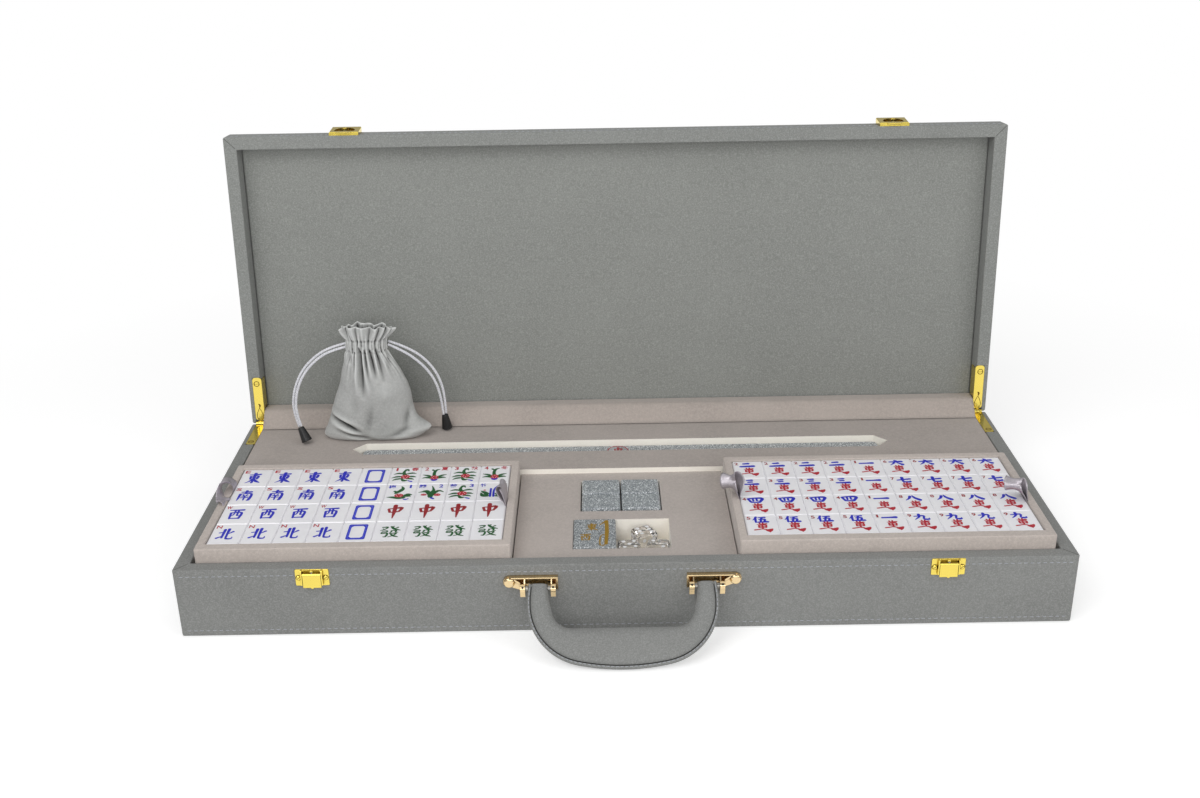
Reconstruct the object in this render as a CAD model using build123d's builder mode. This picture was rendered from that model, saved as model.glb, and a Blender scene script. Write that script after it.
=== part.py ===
from build123d import *

import os
from math import acos, atan2, cos, degrees, hypot, pi, radians, sin, tan

os.makedirs("parts", exist_ok=True)

# A briefcase-style mahjong case that lies open on a table.  Millimetres, +Z up, +X to the right,
# +Y to the rear.  The origin is the centre of the base's underside.

# ---------------------------------------------------------------- driving dimensions
# case shell
case_length = 740.0
case_depth = 286.0
base_height = 63.2
lid_height = 23.5
wall = 12.0
corner_radius = 2.0
edge_radius = 1.5
rim_radius = 0.8
base_board = 5.0
lid_board = 4.0
lid_panel = 2.5
panel_clearance = 0.6
rim_gap = 0.4
lid_open_angle = 94.8

# foam fittings inside the base
seat_gap = 0.1
floor_pad = 6.0
insert_clearance = 0.6
centre_drop = 5.0
centre_pocket_depth = 21.0
rear_insert_front = 30.5
foam_radius = 1.2

# tiles and their trays
tile_width = 27.1
tile_length = 34.2
tile_height = 23.0
tile_gap = 0.15
tile_chamfer = 1.0
tile_columns = 9
tile_rows = 4
tile_margin = 0.5
tray_floor = 8.0
tray_lip = 1.0
tray_side_wall = 7.0
tray_front_wall = 9.5
tray_rear_wall = 8.0
tray_clearance = 0.8
tray_gap = 1.2
tray_side_gap = 3.55
tray_radius = 2.0

# satin pulls, two on each tray
pull_thickness = 0.8
pull_length = 40.0
pull_bulge = 11.0
pull_band = 10.0
pull_offset = 18.0
pull_offset_x = 1.0
flat_pull_length = 30.0
flat_pull_thickness = 0.6

# pockets of the centre insert
spare_gap = 1.4
spare_margin = 1.2
spare_centre = (-1.6, -15.0)
marker_width = 36.4
marker_depth = 49.6
marker_height = 22.0
marker_centre_x = -25.2
well_right = 39.4
well_front = -110.0
well_margin = 0.5
die_size = 19.0
die_radius = 3.2

# rulers and their slot
ruler_length = 500.0
ruler_width = 22.4
ruler_thickness = 11.3
ruler_gap = 0.2
ruler_count = 4
ruler_radius = 5.0
ruler_margin = 1.0
slot_centre_y = 80.2
slot_point = 11.5

# stop hinges at the two rear corners
hinge_setback = 0.3
leaf_reach = 48.5
leaf_thickness = 1.2
leaf_inset = 4.0
leaf_end_radius = 3.0
flange_thickness = 1.0
flange_drop = 14.0
flange_length = 31.0
barrel_radius = 2.6
barrel_length = 8.0
barrel_offset = 8.0
pin_radius = 1.0
pin_fit = 0.05
knuckle_gap = 0.2
notch_clearance = 0.8
screw_radius = 2.2
screw_setback = 6.5

# spring latches on the front
latch_left_inset = 114.0
latch_right_inset = 107.0
latch_width = 27.6
latch_height = 15.0
latch_drop = 0.4
latch_plate = 1.0
cheek_thickness = 1.1
cheek_depth = 3.8
flap_width = 15.0
flap_length = 12.8
flap_thickness = 1.2
flap_clearance = 0.3
flap_pivot_drop = 4.2
flap_knuckle = 1.3
flap_pin = 0.75
nub_radius = 1.4
stud_radius = 1.2
latch_screw_offset = 11.1
latch_screw_radius = 2.0
screw_slot = 0.5
striker_edge = 0.6
striker_depth = 20.5
striker_rise = 3.2
striker_back_rise = 5.6
striker_base = 1.0
striker_lip = 2.0
striker_lip_width = 14.0
striker_lip_thickness = 1.1
striker_lip_root = 2.0
boss_setback = 8.0
opening_half = 9.0
opening_start = 4.6
opening_depth = 12.6
boss_radius = 2.4

# carrying handle
handle_x = -3.0
pivot_out = 7.5
pivot_height = 45.5
handle_drop = 68.0
handle_shoulder = 14.0
handle_grip_radius = 180.0
handle_inner_drop = 36.8
handle_inner_radius = 16.0
handle_inner_taper = 5.5
leg_offset = 68.8
leg_width = 17.4
leg_end_width = 15.6
leg_end_length = 9.0
core_thickness = 5.0
pad_thickness = 3.5
pad_inset = 2.5
pad_radius = 3.0
leg_end_radius = 3.4
handle_pin = 1.6
collar_radius = 2.6
collar_play = 0.3

# handle brackets
bracket_top = 53.7
bracket_hood = 4.8
bracket_back = 1.5
hood_thickness = 1.2
plate_drop = 5.0
lug_width = 4.0
lug_radius = 4.2
lug_offset = 12.45
lobe_radius = 4.9
lobe_depth = 3.0
lobe_offset = 23.6
bracket_end = 1.7
cap_radius = 4.65
cap_height = 2.6
lug_tip = 6.5
lug_tip_width = 5.0
web_width = 1.0
ridge_depth = 4.6
ridge_height = 1.5
ridge_fall = 1.7
screw_eye_radius = 1.0
screw_eye_depth = 1.6
screw_eye_tilt = 40.0

# velvet strip that covers the hinge line
cover_thickness = 1.2
cover_clearance = 0.4
cover_lap = 3.0

# drawstring pouch with its cords and bell stoppers
pouch_centre = (-242.0, 112.0)
pouch_turn = 7.0
pouch_gap = 0.3
cord_diameter = 2.8
bell_length = 15.0
bell_top_radius = 3.2
bell_bottom_radius = 5.2
bell_edge = 0.6

# ---------------------------------------------------------------- derived places
half_length = case_length / 2
half_depth = case_depth / 2
front_face = -half_depth
inner_half_length = half_length - wall
inner_half_depth = half_depth - wall
hinge_y = half_depth + hinge_setback
hinge_z = base_height + rim_gap / 2
tilt = radians(lid_open_angle - 90)
lid_up = Vector(0, sin(tilt), cos(tilt))
lid_back = Vector(0, cos(tilt), -sin(tilt))
hinge_point = Vector(0, hinge_y, hinge_z)
lid_recess = lid_height - lid_board - lid_panel
lid_centre = hinge_setback + half_depth
lid_front = hinge_setback + case_depth
X_DIR = Vector(1, 0, 0)

# the lid's rim plane: local x is the case's x, local y runs up the open lid, local -z into the lid
lid_rim = Plane(origin=hinge_point + lid_back * (rim_gap / 2), x_dir=X_DIR, z_dir=-lid_back)
# rims as a hinge leaf sees them: local -y leads away from the hinge line, local z leaves the rim
base_leaf_plane = Plane(origin=(0, hinge_y, base_height), x_dir=X_DIR, z_dir=(0, 0, 1))
lid_leaf_plane = Plane(origin=lid_rim.origin, x_dir=-X_DIR, z_dir=-lid_back)

pad_top = base_board + floor_pad
tray_height = tray_floor + tile_height + tray_lip
tile_pitch_x = tile_width + tile_gap
tile_pitch_y = tile_length + tile_gap
cavity_length = tile_columns * tile_pitch_x + 2 * tile_margin
cavity_depth = tile_rows * tile_pitch_y + 2 * tile_margin
tray_length = cavity_length + 2 * tray_side_wall
tray_depth = cavity_depth + tray_front_wall + tray_rear_wall
centre_half_width = inner_half_length - tray_side_gap - tray_length - tray_gap
tray_front = -inner_half_depth + tray_clearance
tray_centre_x = centre_half_width + tray_gap + tray_length / 2
tray_centre_y = tray_front + tray_depth / 2
cavity_centre_y = tray_front + tray_front_wall + cavity_depth / 2

rear_top = base_height - 0.2
rear_insert_back = inner_half_depth - insert_clearance / 2
centre_top = rear_top - centre_drop
centre_front = -inner_half_depth + insert_clearance / 2
pocket_floor = centre_top - centre_pocket_depth


def save(name, part):
    """Label one finished sub-part and write it."""
    part.label = name
    export_step(part, f"parts/{name}.step")


# ---------------------------------------------------------------- base shell
def leaf_recess(sign):
    """Outline of the shallow pocket for one hinge leaf, in a leaf plane."""
    inner = sign * (inner_half_length - 1)
    outer = sign * (half_length - leaf_inset + 0.2)
    far = -leaf_reach - 0.2
    with Locations(((inner + outer) / 2, far / 2)):
        Rectangle(abs(outer - inner), -far)


def barrel_notch(sign):
    """Outline of the notch that clears the hinge barrel, in a leaf plane."""
    reach = barrel_radius + notch_clearance
    with Locations((sign * (half_length - barrel_offset), 0)):
        Rectangle(barrel_length + 2 * knuckle_gap + 0.6, 2 * reach)


with BuildPart() as base_walls:
    with BuildSketch():
        RectangleRounded(case_length, case_depth, corner_radius)
    extrude(amount=base_height)
    fillet(base_walls.faces().sort_by(Axis.Z)[0].edges(), edge_radius)
    with BuildSketch():
        Rectangle(2 * inner_half_length, 2 * inner_half_depth)
    extrude(amount=base_height, mode=Mode.SUBTRACT)
    fillet(base_walls.faces().sort_by(Axis.Z)[-1].edges(), rim_radius)
    with BuildSketch(base_leaf_plane):
        for sign in (-1, 1):
            leaf_recess(sign)
    extrude(amount=-leaf_thickness, mode=Mode.SUBTRACT)
    with BuildSketch(base_leaf_plane):
        for sign in (-1, 1):
            barrel_notch(sign)
    extrude(amount=-(barrel_radius + notch_clearance), mode=Mode.SUBTRACT)
save("base_walls", base_walls.part)

with BuildPart() as base_floor:
    with BuildSketch():
        Rectangle(2 * inner_half_length, 2 * inner_half_depth)
    extrude(amount=base_board)
save("base_floor", base_floor.part)

# ---------------------------------------------------------------- lid shell
with BuildPart() as lid_walls:
    with BuildSketch(lid_rim):
        with Locations((0, lid_centre)):
            RectangleRounded(case_length, case_depth, corner_radius)
    extrude(amount=-lid_height)
    into_lid = Axis(lid_rim.origin, lid_back)
    fillet(lid_walls.faces().sort_by(into_lid)[-1].edges(), edge_radius)
    with BuildSketch(lid_rim):
        with Locations((0, lid_centre)):
            Rectangle(2 * inner_half_length, 2 * inner_half_depth)
    extrude(amount=-lid_height, mode=Mode.SUBTRACT)
    fillet(lid_walls.faces().sort_by(into_lid)[0].edges(), rim_radius)
    with BuildSketch(lid_leaf_plane):
        for sign in (-1, 1):
            leaf_recess(sign)
    extrude(amount=-leaf_thickness, mode=Mode.SUBTRACT)
    with BuildSketch(lid_leaf_plane):
        for sign in (-1, 1):
            barrel_notch(sign)
    extrude(amount=-(barrel_radius + notch_clearance), mode=Mode.SUBTRACT)
save("lid_walls", lid_walls.part)

with BuildPart() as lid_top:
    with BuildSketch(lid_rim.offset(-lid_height)):
        with Locations((0, lid_centre)):
            Rectangle(2 * inner_half_length, 2 * inner_half_depth)
    extrude(amount=lid_board)
save("lid_top", lid_top.part)

with BuildPart() as lid_lining:
    with BuildSketch(lid_rim.offset(-lid_recess - lid_panel)):
        with Locations((0, lid_centre)):
            RectangleRounded(
                2 * (inner_half_length - panel_clearance),
                2 * (inner_half_depth - panel_clearance),
                corner_radius,
            )
    extrude(amount=lid_panel)
    fillet(lid_lining.faces().sort_by(into_lid)[0].edges(), lid_panel * 0.6)
save("lid_lining_panel", lid_lining.part)

# ---------------------------------------------------------------- foam fittings of the base
with BuildPart() as base_pad:
    with BuildSketch(Plane.XY.offset(base_board)):
        Rectangle(
            2 * inner_half_length - insert_clearance,
            2 * inner_half_depth - insert_clearance,
        )
    extrude(amount=floor_pad)
save("base_floor_pad", base_pad.part)

centre_depth = rear_insert_front - centre_front
centre_middle = (rear_insert_front + centre_front) / 2

with BuildPart() as centre_block:
    with BuildSketch(Plane.XY.offset(pad_top)):
        with Locations((0, centre_middle)):
            Rectangle(2 * centre_half_width, centre_depth)
    extrude(amount=pocket_floor - pad_top)
save("centre_insert_block", centre_block.part)

spare_pocket_x = 2 * tile_length + spare_gap + 2 * spare_margin
spare_pocket_y = 2 * tile_width + spare_gap + 2 * spare_margin
well_left = marker_centre_x - marker_width / 2 - well_margin
well_depth = marker_depth + 2 * well_margin
well_back = well_front + well_depth

with BuildPart() as centre_layer:
    with BuildSketch(Plane.XY.offset(pocket_floor)):
        with Locations((0, centre_middle)):
            Rectangle(2 * centre_half_width, centre_depth)
    extrude(amount=centre_pocket_depth)
    with BuildSketch(Plane.XY.offset(pocket_floor)):
        with Locations(spare_centre):
            Rectangle(spare_pocket_x, spare_pocket_y)
        with Locations(((well_left + well_right) / 2, (well_front + well_back) / 2)):
            Rectangle(well_right - well_left, well_depth)
    extrude(amount=centre_pocket_depth, mode=Mode.SUBTRACT)
save("centre_insert_layer", centre_layer.part)

slot_width = ruler_width + 2 * ruler_margin
slot_straight = ruler_length / 2 - ruler_radius + 2 * ruler_margin

with BuildPart() as rear_insert:
    with BuildSketch(Plane.XY.offset(pad_top)):
        with Locations((0, (rear_insert_front + rear_insert_back) / 2)):
            Rectangle(
                2 * (inner_half_length - flange_thickness) - insert_clearance,
                rear_insert_back - rear_insert_front,
            )
        with BuildLine():
            Polyline(
                (-slot_straight, slot_centre_y + slot_width / 2),
                (slot_straight, slot_centre_y + slot_width / 2),
                (slot_straight + slot_point, slot_centre_y),
                (slot_straight, slot_centre_y - slot_width / 2),
                (-slot_straight, slot_centre_y - slot_width / 2),
                (-slot_straight - slot_point, slot_centre_y),
                close=True,
            )
        make_face(mode=Mode.SUBTRACT)
    extrude(amount=rear_top - pad_top)
save("rear_insert", rear_insert.part)

# velvet strip from the rear insert over the rear rim to the lid's lining
strip_half = inner_half_length - flange_thickness - 2 * insert_clearance - leaf_end_radius
ledge = lid_rim.origin + lid_up * (wall + hinge_setback + cover_clearance)
ledge_end = ledge + lid_back * (lid_recess - 1)
ledge_start = ledge - lid_back * cover_clearance
with BuildPart() as hinge_cover:
    with BuildSketch(Plane.YZ.offset(-strip_half)):
        with BuildLine():
            foot = (rear_insert_back - cover_lap, rear_top + cover_clearance)
            bend = (rear_insert_back, rear_top + cover_clearance)
            lip = (ledge_start.Y - cover_clearance, ledge_start.Z)
            end = (ledge_end.Y, ledge_end.Z)
            Polyline(foot, bend, lip, end)
            offset(amount=cover_thickness, side=Side.LEFT)
        make_face()
    extrude(amount=2 * strip_half)
save("hinge_cover_strip", hinge_cover.part)

# ---------------------------------------------------------------- hinges
knuckle_length = (barrel_length - 2 * knuckle_gap) / 3
knuckle_pitch = knuckle_length + knuckle_gap
leaf_start = barrel_radius + notch_clearance


def hinge_leaf(plane, sign, knuckles):
    """One leaf with its inner flange and the knuckles at the given steps from the middle one."""
    inner = sign * (inner_half_length - flange_thickness)
    wall_face = sign * inner_half_length
    outer = sign * (half_length - leaf_inset)
    barrel_x = sign * (half_length - barrel_offset)
    width = abs(outer - inner)
    with BuildPart() as leaf:
        with BuildSketch(plane):
            with Locations(((inner + outer) / 2, -(leaf_reach + leaf_start) / 2)):
                RectangleRounded(width, leaf_reach - leaf_start, leaf_end_radius)
            with Locations(((wall_face + outer) / 2, screw_setback - leaf_reach)):
                Circle(screw_radius, mode=Mode.SUBTRACT)
        extrude(amount=-leaf_thickness)
        with BuildSketch(plane):
            with Locations(((inner + wall_face) / 2, leaf_end_radius + flange_length / 2 - leaf_reach)):
                Rectangle(flange_thickness, flange_length)
        extrude(amount=-flange_drop)
        with BuildSketch(plane):
            for step in knuckles:
                with Locations((barrel_x + step * knuckle_pitch, -leaf_start / 2)):
                    Rectangle(knuckle_length, leaf_start + leaf_thickness)
        extrude(amount=-leaf_thickness)
        axis_x = plane.origin + plane.z_dir * (rim_gap / 2)
        for step in knuckles:
            side_plane = Plane(
                origin=axis_x + plane.x_dir * (barrel_x + step * knuckle_pitch - knuckle_length / 2),
                x_dir=plane.y_dir,
                z_dir=plane.x_dir,
            )
            with BuildSketch(side_plane):
                Circle(barrel_radius)
            extrude(amount=knuckle_length)
        bore_plane = Plane(
            origin=axis_x + plane.x_dir * (barrel_x - barrel_length),
            x_dir=plane.y_dir,
            z_dir=plane.x_dir,
        )
        with BuildSketch(bore_plane):
            Circle(pin_radius + pin_fit)
        extrude(amount=2 * barrel_length, mode=Mode.SUBTRACT)
    return leaf.part


for name, sign in (("left", -1), ("right", 1)):
    save(f"hinge_base_leaf_{name}", hinge_leaf(base_leaf_plane, sign, (-1, 1)))
    save(f"hinge_lid_leaf_{name}", hinge_leaf(lid_leaf_plane, -sign, (0,)))

with BuildPart() as hinge_pins:
    for sign in (-1, 1):
        side_plane = Plane.YZ.offset(sign * (half_length - barrel_offset))
        with BuildSketch(side_plane):
            with Locations((hinge_y, hinge_z)):
                Circle(pin_radius)
        extrude(amount=barrel_length / 2, both=True)
save("hinge_pins", hinge_pins.part)

# screw heads of the leaves, sunk flush and slotted
slot_width_screw = screw_radius / 3


def leaf_screws(plane):
    """Both leaf screws of one half of the case."""
    with BuildPart() as screws:
        for sign in (-1, 1):
            spot = (sign * (half_length - (wall + leaf_inset) / 2), screw_setback - leaf_reach)
            with BuildSketch(plane):
                with Locations(spot):
                    Circle(screw_radius)
            extrude(amount=-leaf_thickness)
            with BuildSketch(plane):
                with Locations(spot):
                    Rectangle(2 * screw_radius, slot_width_screw)
            extrude(amount=-leaf_thickness / 3, mode=Mode.SUBTRACT)
    return screws.part


save("hinge_base_screws", leaf_screws(base_leaf_plane))
save("hinge_lid_screws", leaf_screws(lid_leaf_plane))

# ---------------------------------------------------------------- latches
latch_top = base_height - latch_drop
flap_pivot_z = latch_top - flap_pivot_drop
flap_pivot_out = cheek_depth - flap_knuckle / 2 - flap_thickness / 2
cheek_offset = flap_width / 2 + flap_clearance + cheek_thickness / 2
latches = (("left", latch_left_inset - half_length), ("right", half_length - latch_right_inset))


def front_plane(x, z):
    """A plane on the front face: local x to the right, local y up, local z out of the face."""
    return Plane(origin=(x, front_face, z), x_dir=(1, 0, 0), z_dir=(0, -1, 0))


def latch_housing(x):
    """Back plate with two cheeks, the flap's pin between them and the stud above it."""
    top = front_plane(x, latch_top)
    with BuildPart() as housing:
        with BuildSketch(top):
            with Locations((0, -latch_height / 2)):
                RectangleRounded(latch_width, latch_height, 1)
        extrude(amount=latch_plate)
        fillet(housing.faces().sort_by(Axis.Y)[0].edges(), latch_plate / 3)
        with BuildSketch(top):
            for side in (-1, 1):
                with Locations((side * cheek_offset, -latch_height / 2 + 0.5)):
                    Rectangle(cheek_thickness, latch_height - 1)
        extrude(amount=cheek_depth)
        fillet(housing.faces().sort_by(Axis.Y)[0:2].edges().filter_by(Axis.X), 0.9)
        with BuildSketch(front_plane(x, latch_top - stud_radius - 0.4)):
            Circle(stud_radius)
        extrude(amount=latch_plate + 0.9)
        with BuildSketch(Plane.YZ.offset(x - cheek_offset)):
            with Locations((front_face - flap_pivot_out, flap_pivot_z)):
                Circle(flap_pin)
        extrude(amount=2 * cheek_offset)
    return housing.part


def latch_flap(x):
    """The square flap that hangs from the pin, with a finger nub at its lower edge."""
    pivot_y = front_face - flap_pivot_out
    face_out = flap_pivot_out + flap_knuckle
    hang = flap_length - flap_knuckle
    with BuildPart() as flap:
        with BuildSketch(front_plane(x, flap_pivot_z).offset(face_out - flap_thickness)):
            with Locations((0, -hang / 2)):
                RectangleRounded(flap_width, hang, flap_thickness / 4)
            with Locations((0, nub_radius / 3 - hang)):
                Circle(nub_radius)
        extrude(amount=flap_thickness)
        fillet(flap.faces().sort_by(Axis.Y)[0].edges(), flap_thickness / 3)
        with BuildSketch(Plane.YZ.offset(x - flap_width / 2)):
            with Locations((pivot_y, flap_pivot_z)):
                Circle(flap_knuckle)
        extrude(amount=flap_width)
        with BuildSketch(Plane.YZ.offset(x - flap_width)):
            with Locations((pivot_y, flap_pivot_z)):
                Circle(flap_pin + pin_fit)
        extrude(amount=2 * flap_width, mode=Mode.SUBTRACT)
    return flap.part


def striker(x):
    """The lid's half of a latch: a wedge with a D-shaped opening and a lip over the rim."""
    face = Plane(origin=lid_rim.origin + X_DIR * x + lid_up * lid_front, x_dir=X_DIR, z_dir=lid_up)
    far = striker_edge + striker_depth
    with BuildPart() as frame:
        with BuildSketch(Plane(origin=face.origin, x_dir=face.y_dir, z_dir=X_DIR)):
            with BuildLine():
                Polyline(
                    (striker_edge, 0),
                    (striker_edge, striker_rise),
                    (far, striker_back_rise),
                    (far, 0),
                    close=True,
                )
            make_face()
        extrude(amount=latch_width / 2, both=True)
        chamfer(frame.faces().sort_by(Axis(face.origin, lid_up))[-1].edges(), striker_edge)
        with BuildSketch(face.offset(striker_base)):
            with BuildLine():
                Polyline((-opening_half, opening_start), (opening_half, opening_start))
                ThreePointArc(
                    (opening_half, opening_start),
                    (0, opening_start + opening_depth),
                    (-opening_half, opening_start),
                )
            make_face()
        extrude(amount=striker_back_rise, mode=Mode.SUBTRACT)
        with BuildSketch(face.offset(striker_rise)):
            with Locations((0, striker_edge + (striker_lip_root - striker_edge - striker_lip) / 2)):
                RectangleRounded(
                    striker_lip_width,
                    striker_edge + striker_lip_root + striker_lip,
                    striker_lip_thickness / 2,
                )
        extrude(amount=-striker_lip_thickness)
    return frame.part


def striker_boss(x):
    """The domed screw head in the middle of a striker."""
    face = Plane(origin=lid_rim.origin + X_DIR * x + lid_up * lid_front, x_dir=X_DIR, z_dir=lid_up)
    with BuildPart() as boss:
        with BuildSketch(face.offset(striker_base)):
            with Locations((0, boss_setback)):
                Circle(boss_radius)
        extrude(amount=boss_radius)
        chamfer(boss.faces().sort_by(Axis(face.origin, lid_up))[-1].edges(), boss_radius / 3)
    return boss.part


for name, x in latches:
    save(f"latch_housing_{name}", latch_housing(x))
    save(f"latch_flap_{name}", latch_flap(x))
    save(f"striker_{name}", striker(x))

with BuildPart() as striker_screws:
    for name, x in latches:
        add(striker_boss(x))
save("striker_screws", striker_screws.part)

with BuildPart() as latch_screws:
    for name, x in latches:
        with BuildSketch(front_plane(x, latch_top - latch_height / 2).offset(latch_plate)):
            with GridLocations(2 * latch_screw_offset, 1, 2, 1):
                Circle(latch_screw_radius)
        extrude(amount=latch_screw_radius / 2)
    chamfer(latch_screws.faces().filter_by(Axis.Y).group_by(Axis.Y)[0].edges(), latch_screw_radius / 4)
    for name, x in latches:
        slot_floor = front_plane(x, latch_top - latch_height / 2).offset(latch_plate + screw_slot)
        with BuildSketch(slot_floor):
            with GridLocations(2 * latch_screw_offset, 1, 2, 1):
                Rectangle(2 * latch_screw_radius, screw_slot, rotation=35)
        extrude(amount=latch_screw_radius, mode=Mode.SUBTRACT)
save("latch_screws", latch_screws.part)

# ---------------------------------------------------------------- handle brackets
pivot_y = front_face - pivot_out
lug_inner = lug_offset - lug_width / 2
lug_outer = lug_offset + lug_width / 2
bracket_inner = leg_offset - lug_outer - bracket_end
lobe_x = leg_offset + lobe_offset
bracket_bottom = bracket_top - 2 * lobe_radius
plate_bottom = pivot_height - plate_drop
front = front_plane(handle_x, 0)


def handle_bracket(sign):
    """A cast bracket: a plate with a thin hood and a round lobe, and two lugs that carry the pin."""
    outer_lug = leg_offset + lug_outer
    ridge_top = bracket_top - ridge_fall
    ridge_end = pivot_height + lug_radius - ridge_height / 2
    eye_front = lug_radius * cos(radians(screw_eye_tilt))
    eye_rise = lug_radius * sin(radians(screw_eye_tilt))
    with BuildPart() as bracket:
        with BuildSketch(front):
            with BuildLine():
                Polyline(
                    (sign * bracket_inner, plate_bottom),
                    (sign * bracket_inner, bracket_top),
                    (sign * lobe_x, bracket_top),
                    (sign * lobe_x, bracket_bottom),
                    (sign * outer_lug, plate_bottom),
                    close=True,
                )
            make_face()
        extrude(amount=bracket_back)
        with BuildSketch(front):
            with Locations((sign * (bracket_inner + lobe_x) / 2, bracket_top - hood_thickness / 2)):
                Rectangle(lobe_x - bracket_inner, hood_thickness)
        extrude(amount=bracket_hood)
        fillet(bracket.faces().sort_by(Axis.Y)[0].edges(), hood_thickness / 3)
        with BuildSketch(front):
            with Locations((sign * lobe_x, bracket_top - lobe_radius)):
                Circle(lobe_radius)
        extrude(amount=lobe_depth)
        with BuildSketch(front):
            with BuildLine():
                Polyline(
                    (sign * lobe_x, ridge_top),
                    (sign * (lobe_x - cap_radius), ridge_top),
                    (sign * outer_lug, ridge_end),
                    (sign * outer_lug, ridge_end - ridge_height),
                    (sign * (lobe_x - cap_radius), ridge_top - ridge_height),
                    (sign * lobe_x, ridge_top - ridge_height),
                    close=True,
                )
            make_face()
        extrude(amount=ridge_depth)
        with BuildSketch(front.offset(lobe_depth)):
            with Locations((sign * lobe_x, bracket_top - lobe_radius)):
                Circle(lobe_radius)
        extrude(amount=ridge_depth, mode=Mode.SUBTRACT)
        for side in (-1, 1):
            lug_plane = Plane.YZ.offset(handle_x + sign * leg_offset + side * lug_offset)
            web_shift = side * (web_width - lug_width) / 2
            with BuildSketch(lug_plane.offset(web_shift)):
                with BuildLine():
                    Polyline(
                        (front_face - bracket_back, pivot_height),
                        (front_face - bracket_back, bracket_top - hood_thickness),
                        (front_face - bracket_hood, bracket_top - hood_thickness),
                        (pivot_y, pivot_height + lug_radius),
                        (pivot_y, pivot_height),
                        close=True,
                    )
                make_face()
            extrude(amount=web_width / 2, both=True)
            with BuildSketch(lug_plane):
                with BuildLine():
                    Polyline(
                        (front_face - bracket_back, plate_bottom),
                        (front_face - bracket_back, pivot_height + lug_radius),
                        (pivot_y, pivot_height + lug_radius),
                        (pivot_y - lug_radius, pivot_height),
                        (pivot_y - lug_tip_width / 2, pivot_height - lug_tip),
                        (pivot_y + lug_tip_width / 2, pivot_height - lug_tip),
                        close=True,
                    )
                make_face()
                with Locations((pivot_y, pivot_height)):
                    Circle(lug_radius)
            extrude(amount=lug_width / 2, both=True)
            with BuildSketch(lug_plane):
                with Locations((pivot_y, pivot_height)):
                    Circle(handle_pin + pin_fit)
            extrude(amount=lug_width, both=True, mode=Mode.SUBTRACT)
            eye = Plane(
                origin=lug_plane.origin + Vector(0, pivot_y - eye_front, pivot_height + eye_rise),
                z_dir=(0, -eye_front, eye_rise),
            )
            with BuildSketch(eye):
                Circle(screw_eye_radius)
            extrude(amount=-screw_eye_depth, mode=Mode.SUBTRACT)
    return bracket.part


for name, sign in (("left", -1), ("right", 1)):
    save(f"handle_bracket_{name}", handle_bracket(sign))

with BuildPart() as bracket_caps:
    for sign in (-1, 1):
        with BuildSketch(front.offset(lobe_depth)):
            with Locations((sign * lobe_x, bracket_top - lobe_radius)):
                Circle(cap_radius)
        extrude(amount=cap_height)
    fillet(bracket_caps.faces().filter_by(Axis.Y).group_by(Axis.Y)[0].edges(), cap_height * 0.85)
save("bracket_caps", bracket_caps.part)

collar_length = lug_inner - leg_end_width / 2 - collar_play
with BuildPart() as handle_pins:
    for sign in (-1, 1):
        leg_x = handle_x + sign * leg_offset
        with BuildSketch(Plane.YZ.offset(leg_x)):
            with Locations((pivot_y, pivot_height)):
                Circle(handle_pin)
        extrude(amount=lug_outer, both=True)
        for side in (-1, 1):
            collar_plane = Plane.YZ.offset(leg_x + side * (lug_inner - collar_length / 2))
            with BuildSketch(collar_plane):
                with Locations((pivot_y, pivot_height)):
                    Circle(collar_radius)
            extrude(amount=collar_length / 2, both=True)
save("handle_pins", handle_pins.part)

# ---------------------------------------------------------------- handle
# it droops until the lower edge of its rim meets the table
rim_reach = hypot(handle_drop, core_thickness / 2)
droop = atan2(core_thickness / 2, handle_drop) + acos(pivot_height / rim_reach)
handle_plane = Plane(
    origin=(handle_x, pivot_y, pivot_height),
    x_dir=(1, 0, 0),
    z_dir=(0, cos(droop), -sin(droop)),
)


def handle_outline(inset, start):
    """The arched handle seen square on, its outer edge moved in by inset, from start to the grip."""
    outer = leg_offset + leg_width / 2 - inset
    inner = leg_offset - leg_width / 2
    outer_end = leg_offset + leg_end_width / 2 - inset
    inner_end = leg_offset - leg_end_width / 2
    rise = handle_drop - handle_shoulder - inset
    grip = handle_grip_radius - inset
    side = (outer**2 + rise**2 - 2 * grip * rise) / (2 * (outer - grip))
    turn = degrees(atan2(grip - rise, outer - side))
    with BuildSketch() as outline:
        with BuildLine():
            Polyline((outer_end, start), (outer, leg_end_length), (outer, handle_shoulder))
            CenterArc((outer - side, handle_shoulder), side, 0, turn)
            CenterArc((0, handle_shoulder + rise - grip), grip, turn, 180 - 2 * turn)
            CenterArc((side - outer, handle_shoulder), side, 180 - turn, turn)
            Polyline((-outer, handle_shoulder), (-outer, leg_end_length), (-outer_end, start))
            Line((-outer_end, start), (-inner_end, start))
            Line((-inner_end, start), (-inner, leg_end_length))
            FilletPolyline(
                (-inner, leg_end_length),
                (handle_inner_taper - inner, handle_inner_drop),
                (inner - handle_inner_taper, handle_inner_drop),
                (inner, leg_end_length),
                radius=handle_inner_radius,
            )
            Line((inner, leg_end_length), (inner_end, start))
            Line((inner_end, start), (outer_end, start))
        make_face()
    return outline.sketch


with BuildPart() as handle_core:
    with BuildSketch(handle_plane):
        add(handle_outline(0, 0))
    extrude(amount=core_thickness / 2, both=True)
    for sign in (-1, 1):
        with BuildSketch(Plane.YZ.offset(handle_x + sign * leg_offset)):
            with Locations((pivot_y, pivot_height)):
                Circle(leg_end_radius)
        extrude(amount=leg_end_width / 2, both=True)
        with BuildSketch(Plane.YZ.offset(handle_x + sign * leg_offset)):
            with Locations((pivot_y, pivot_height)):
                Circle(handle_pin + pin_fit)
        extrude(amount=leg_width, both=True, mode=Mode.SUBTRACT)
save("handle_core", handle_core.part)

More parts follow.
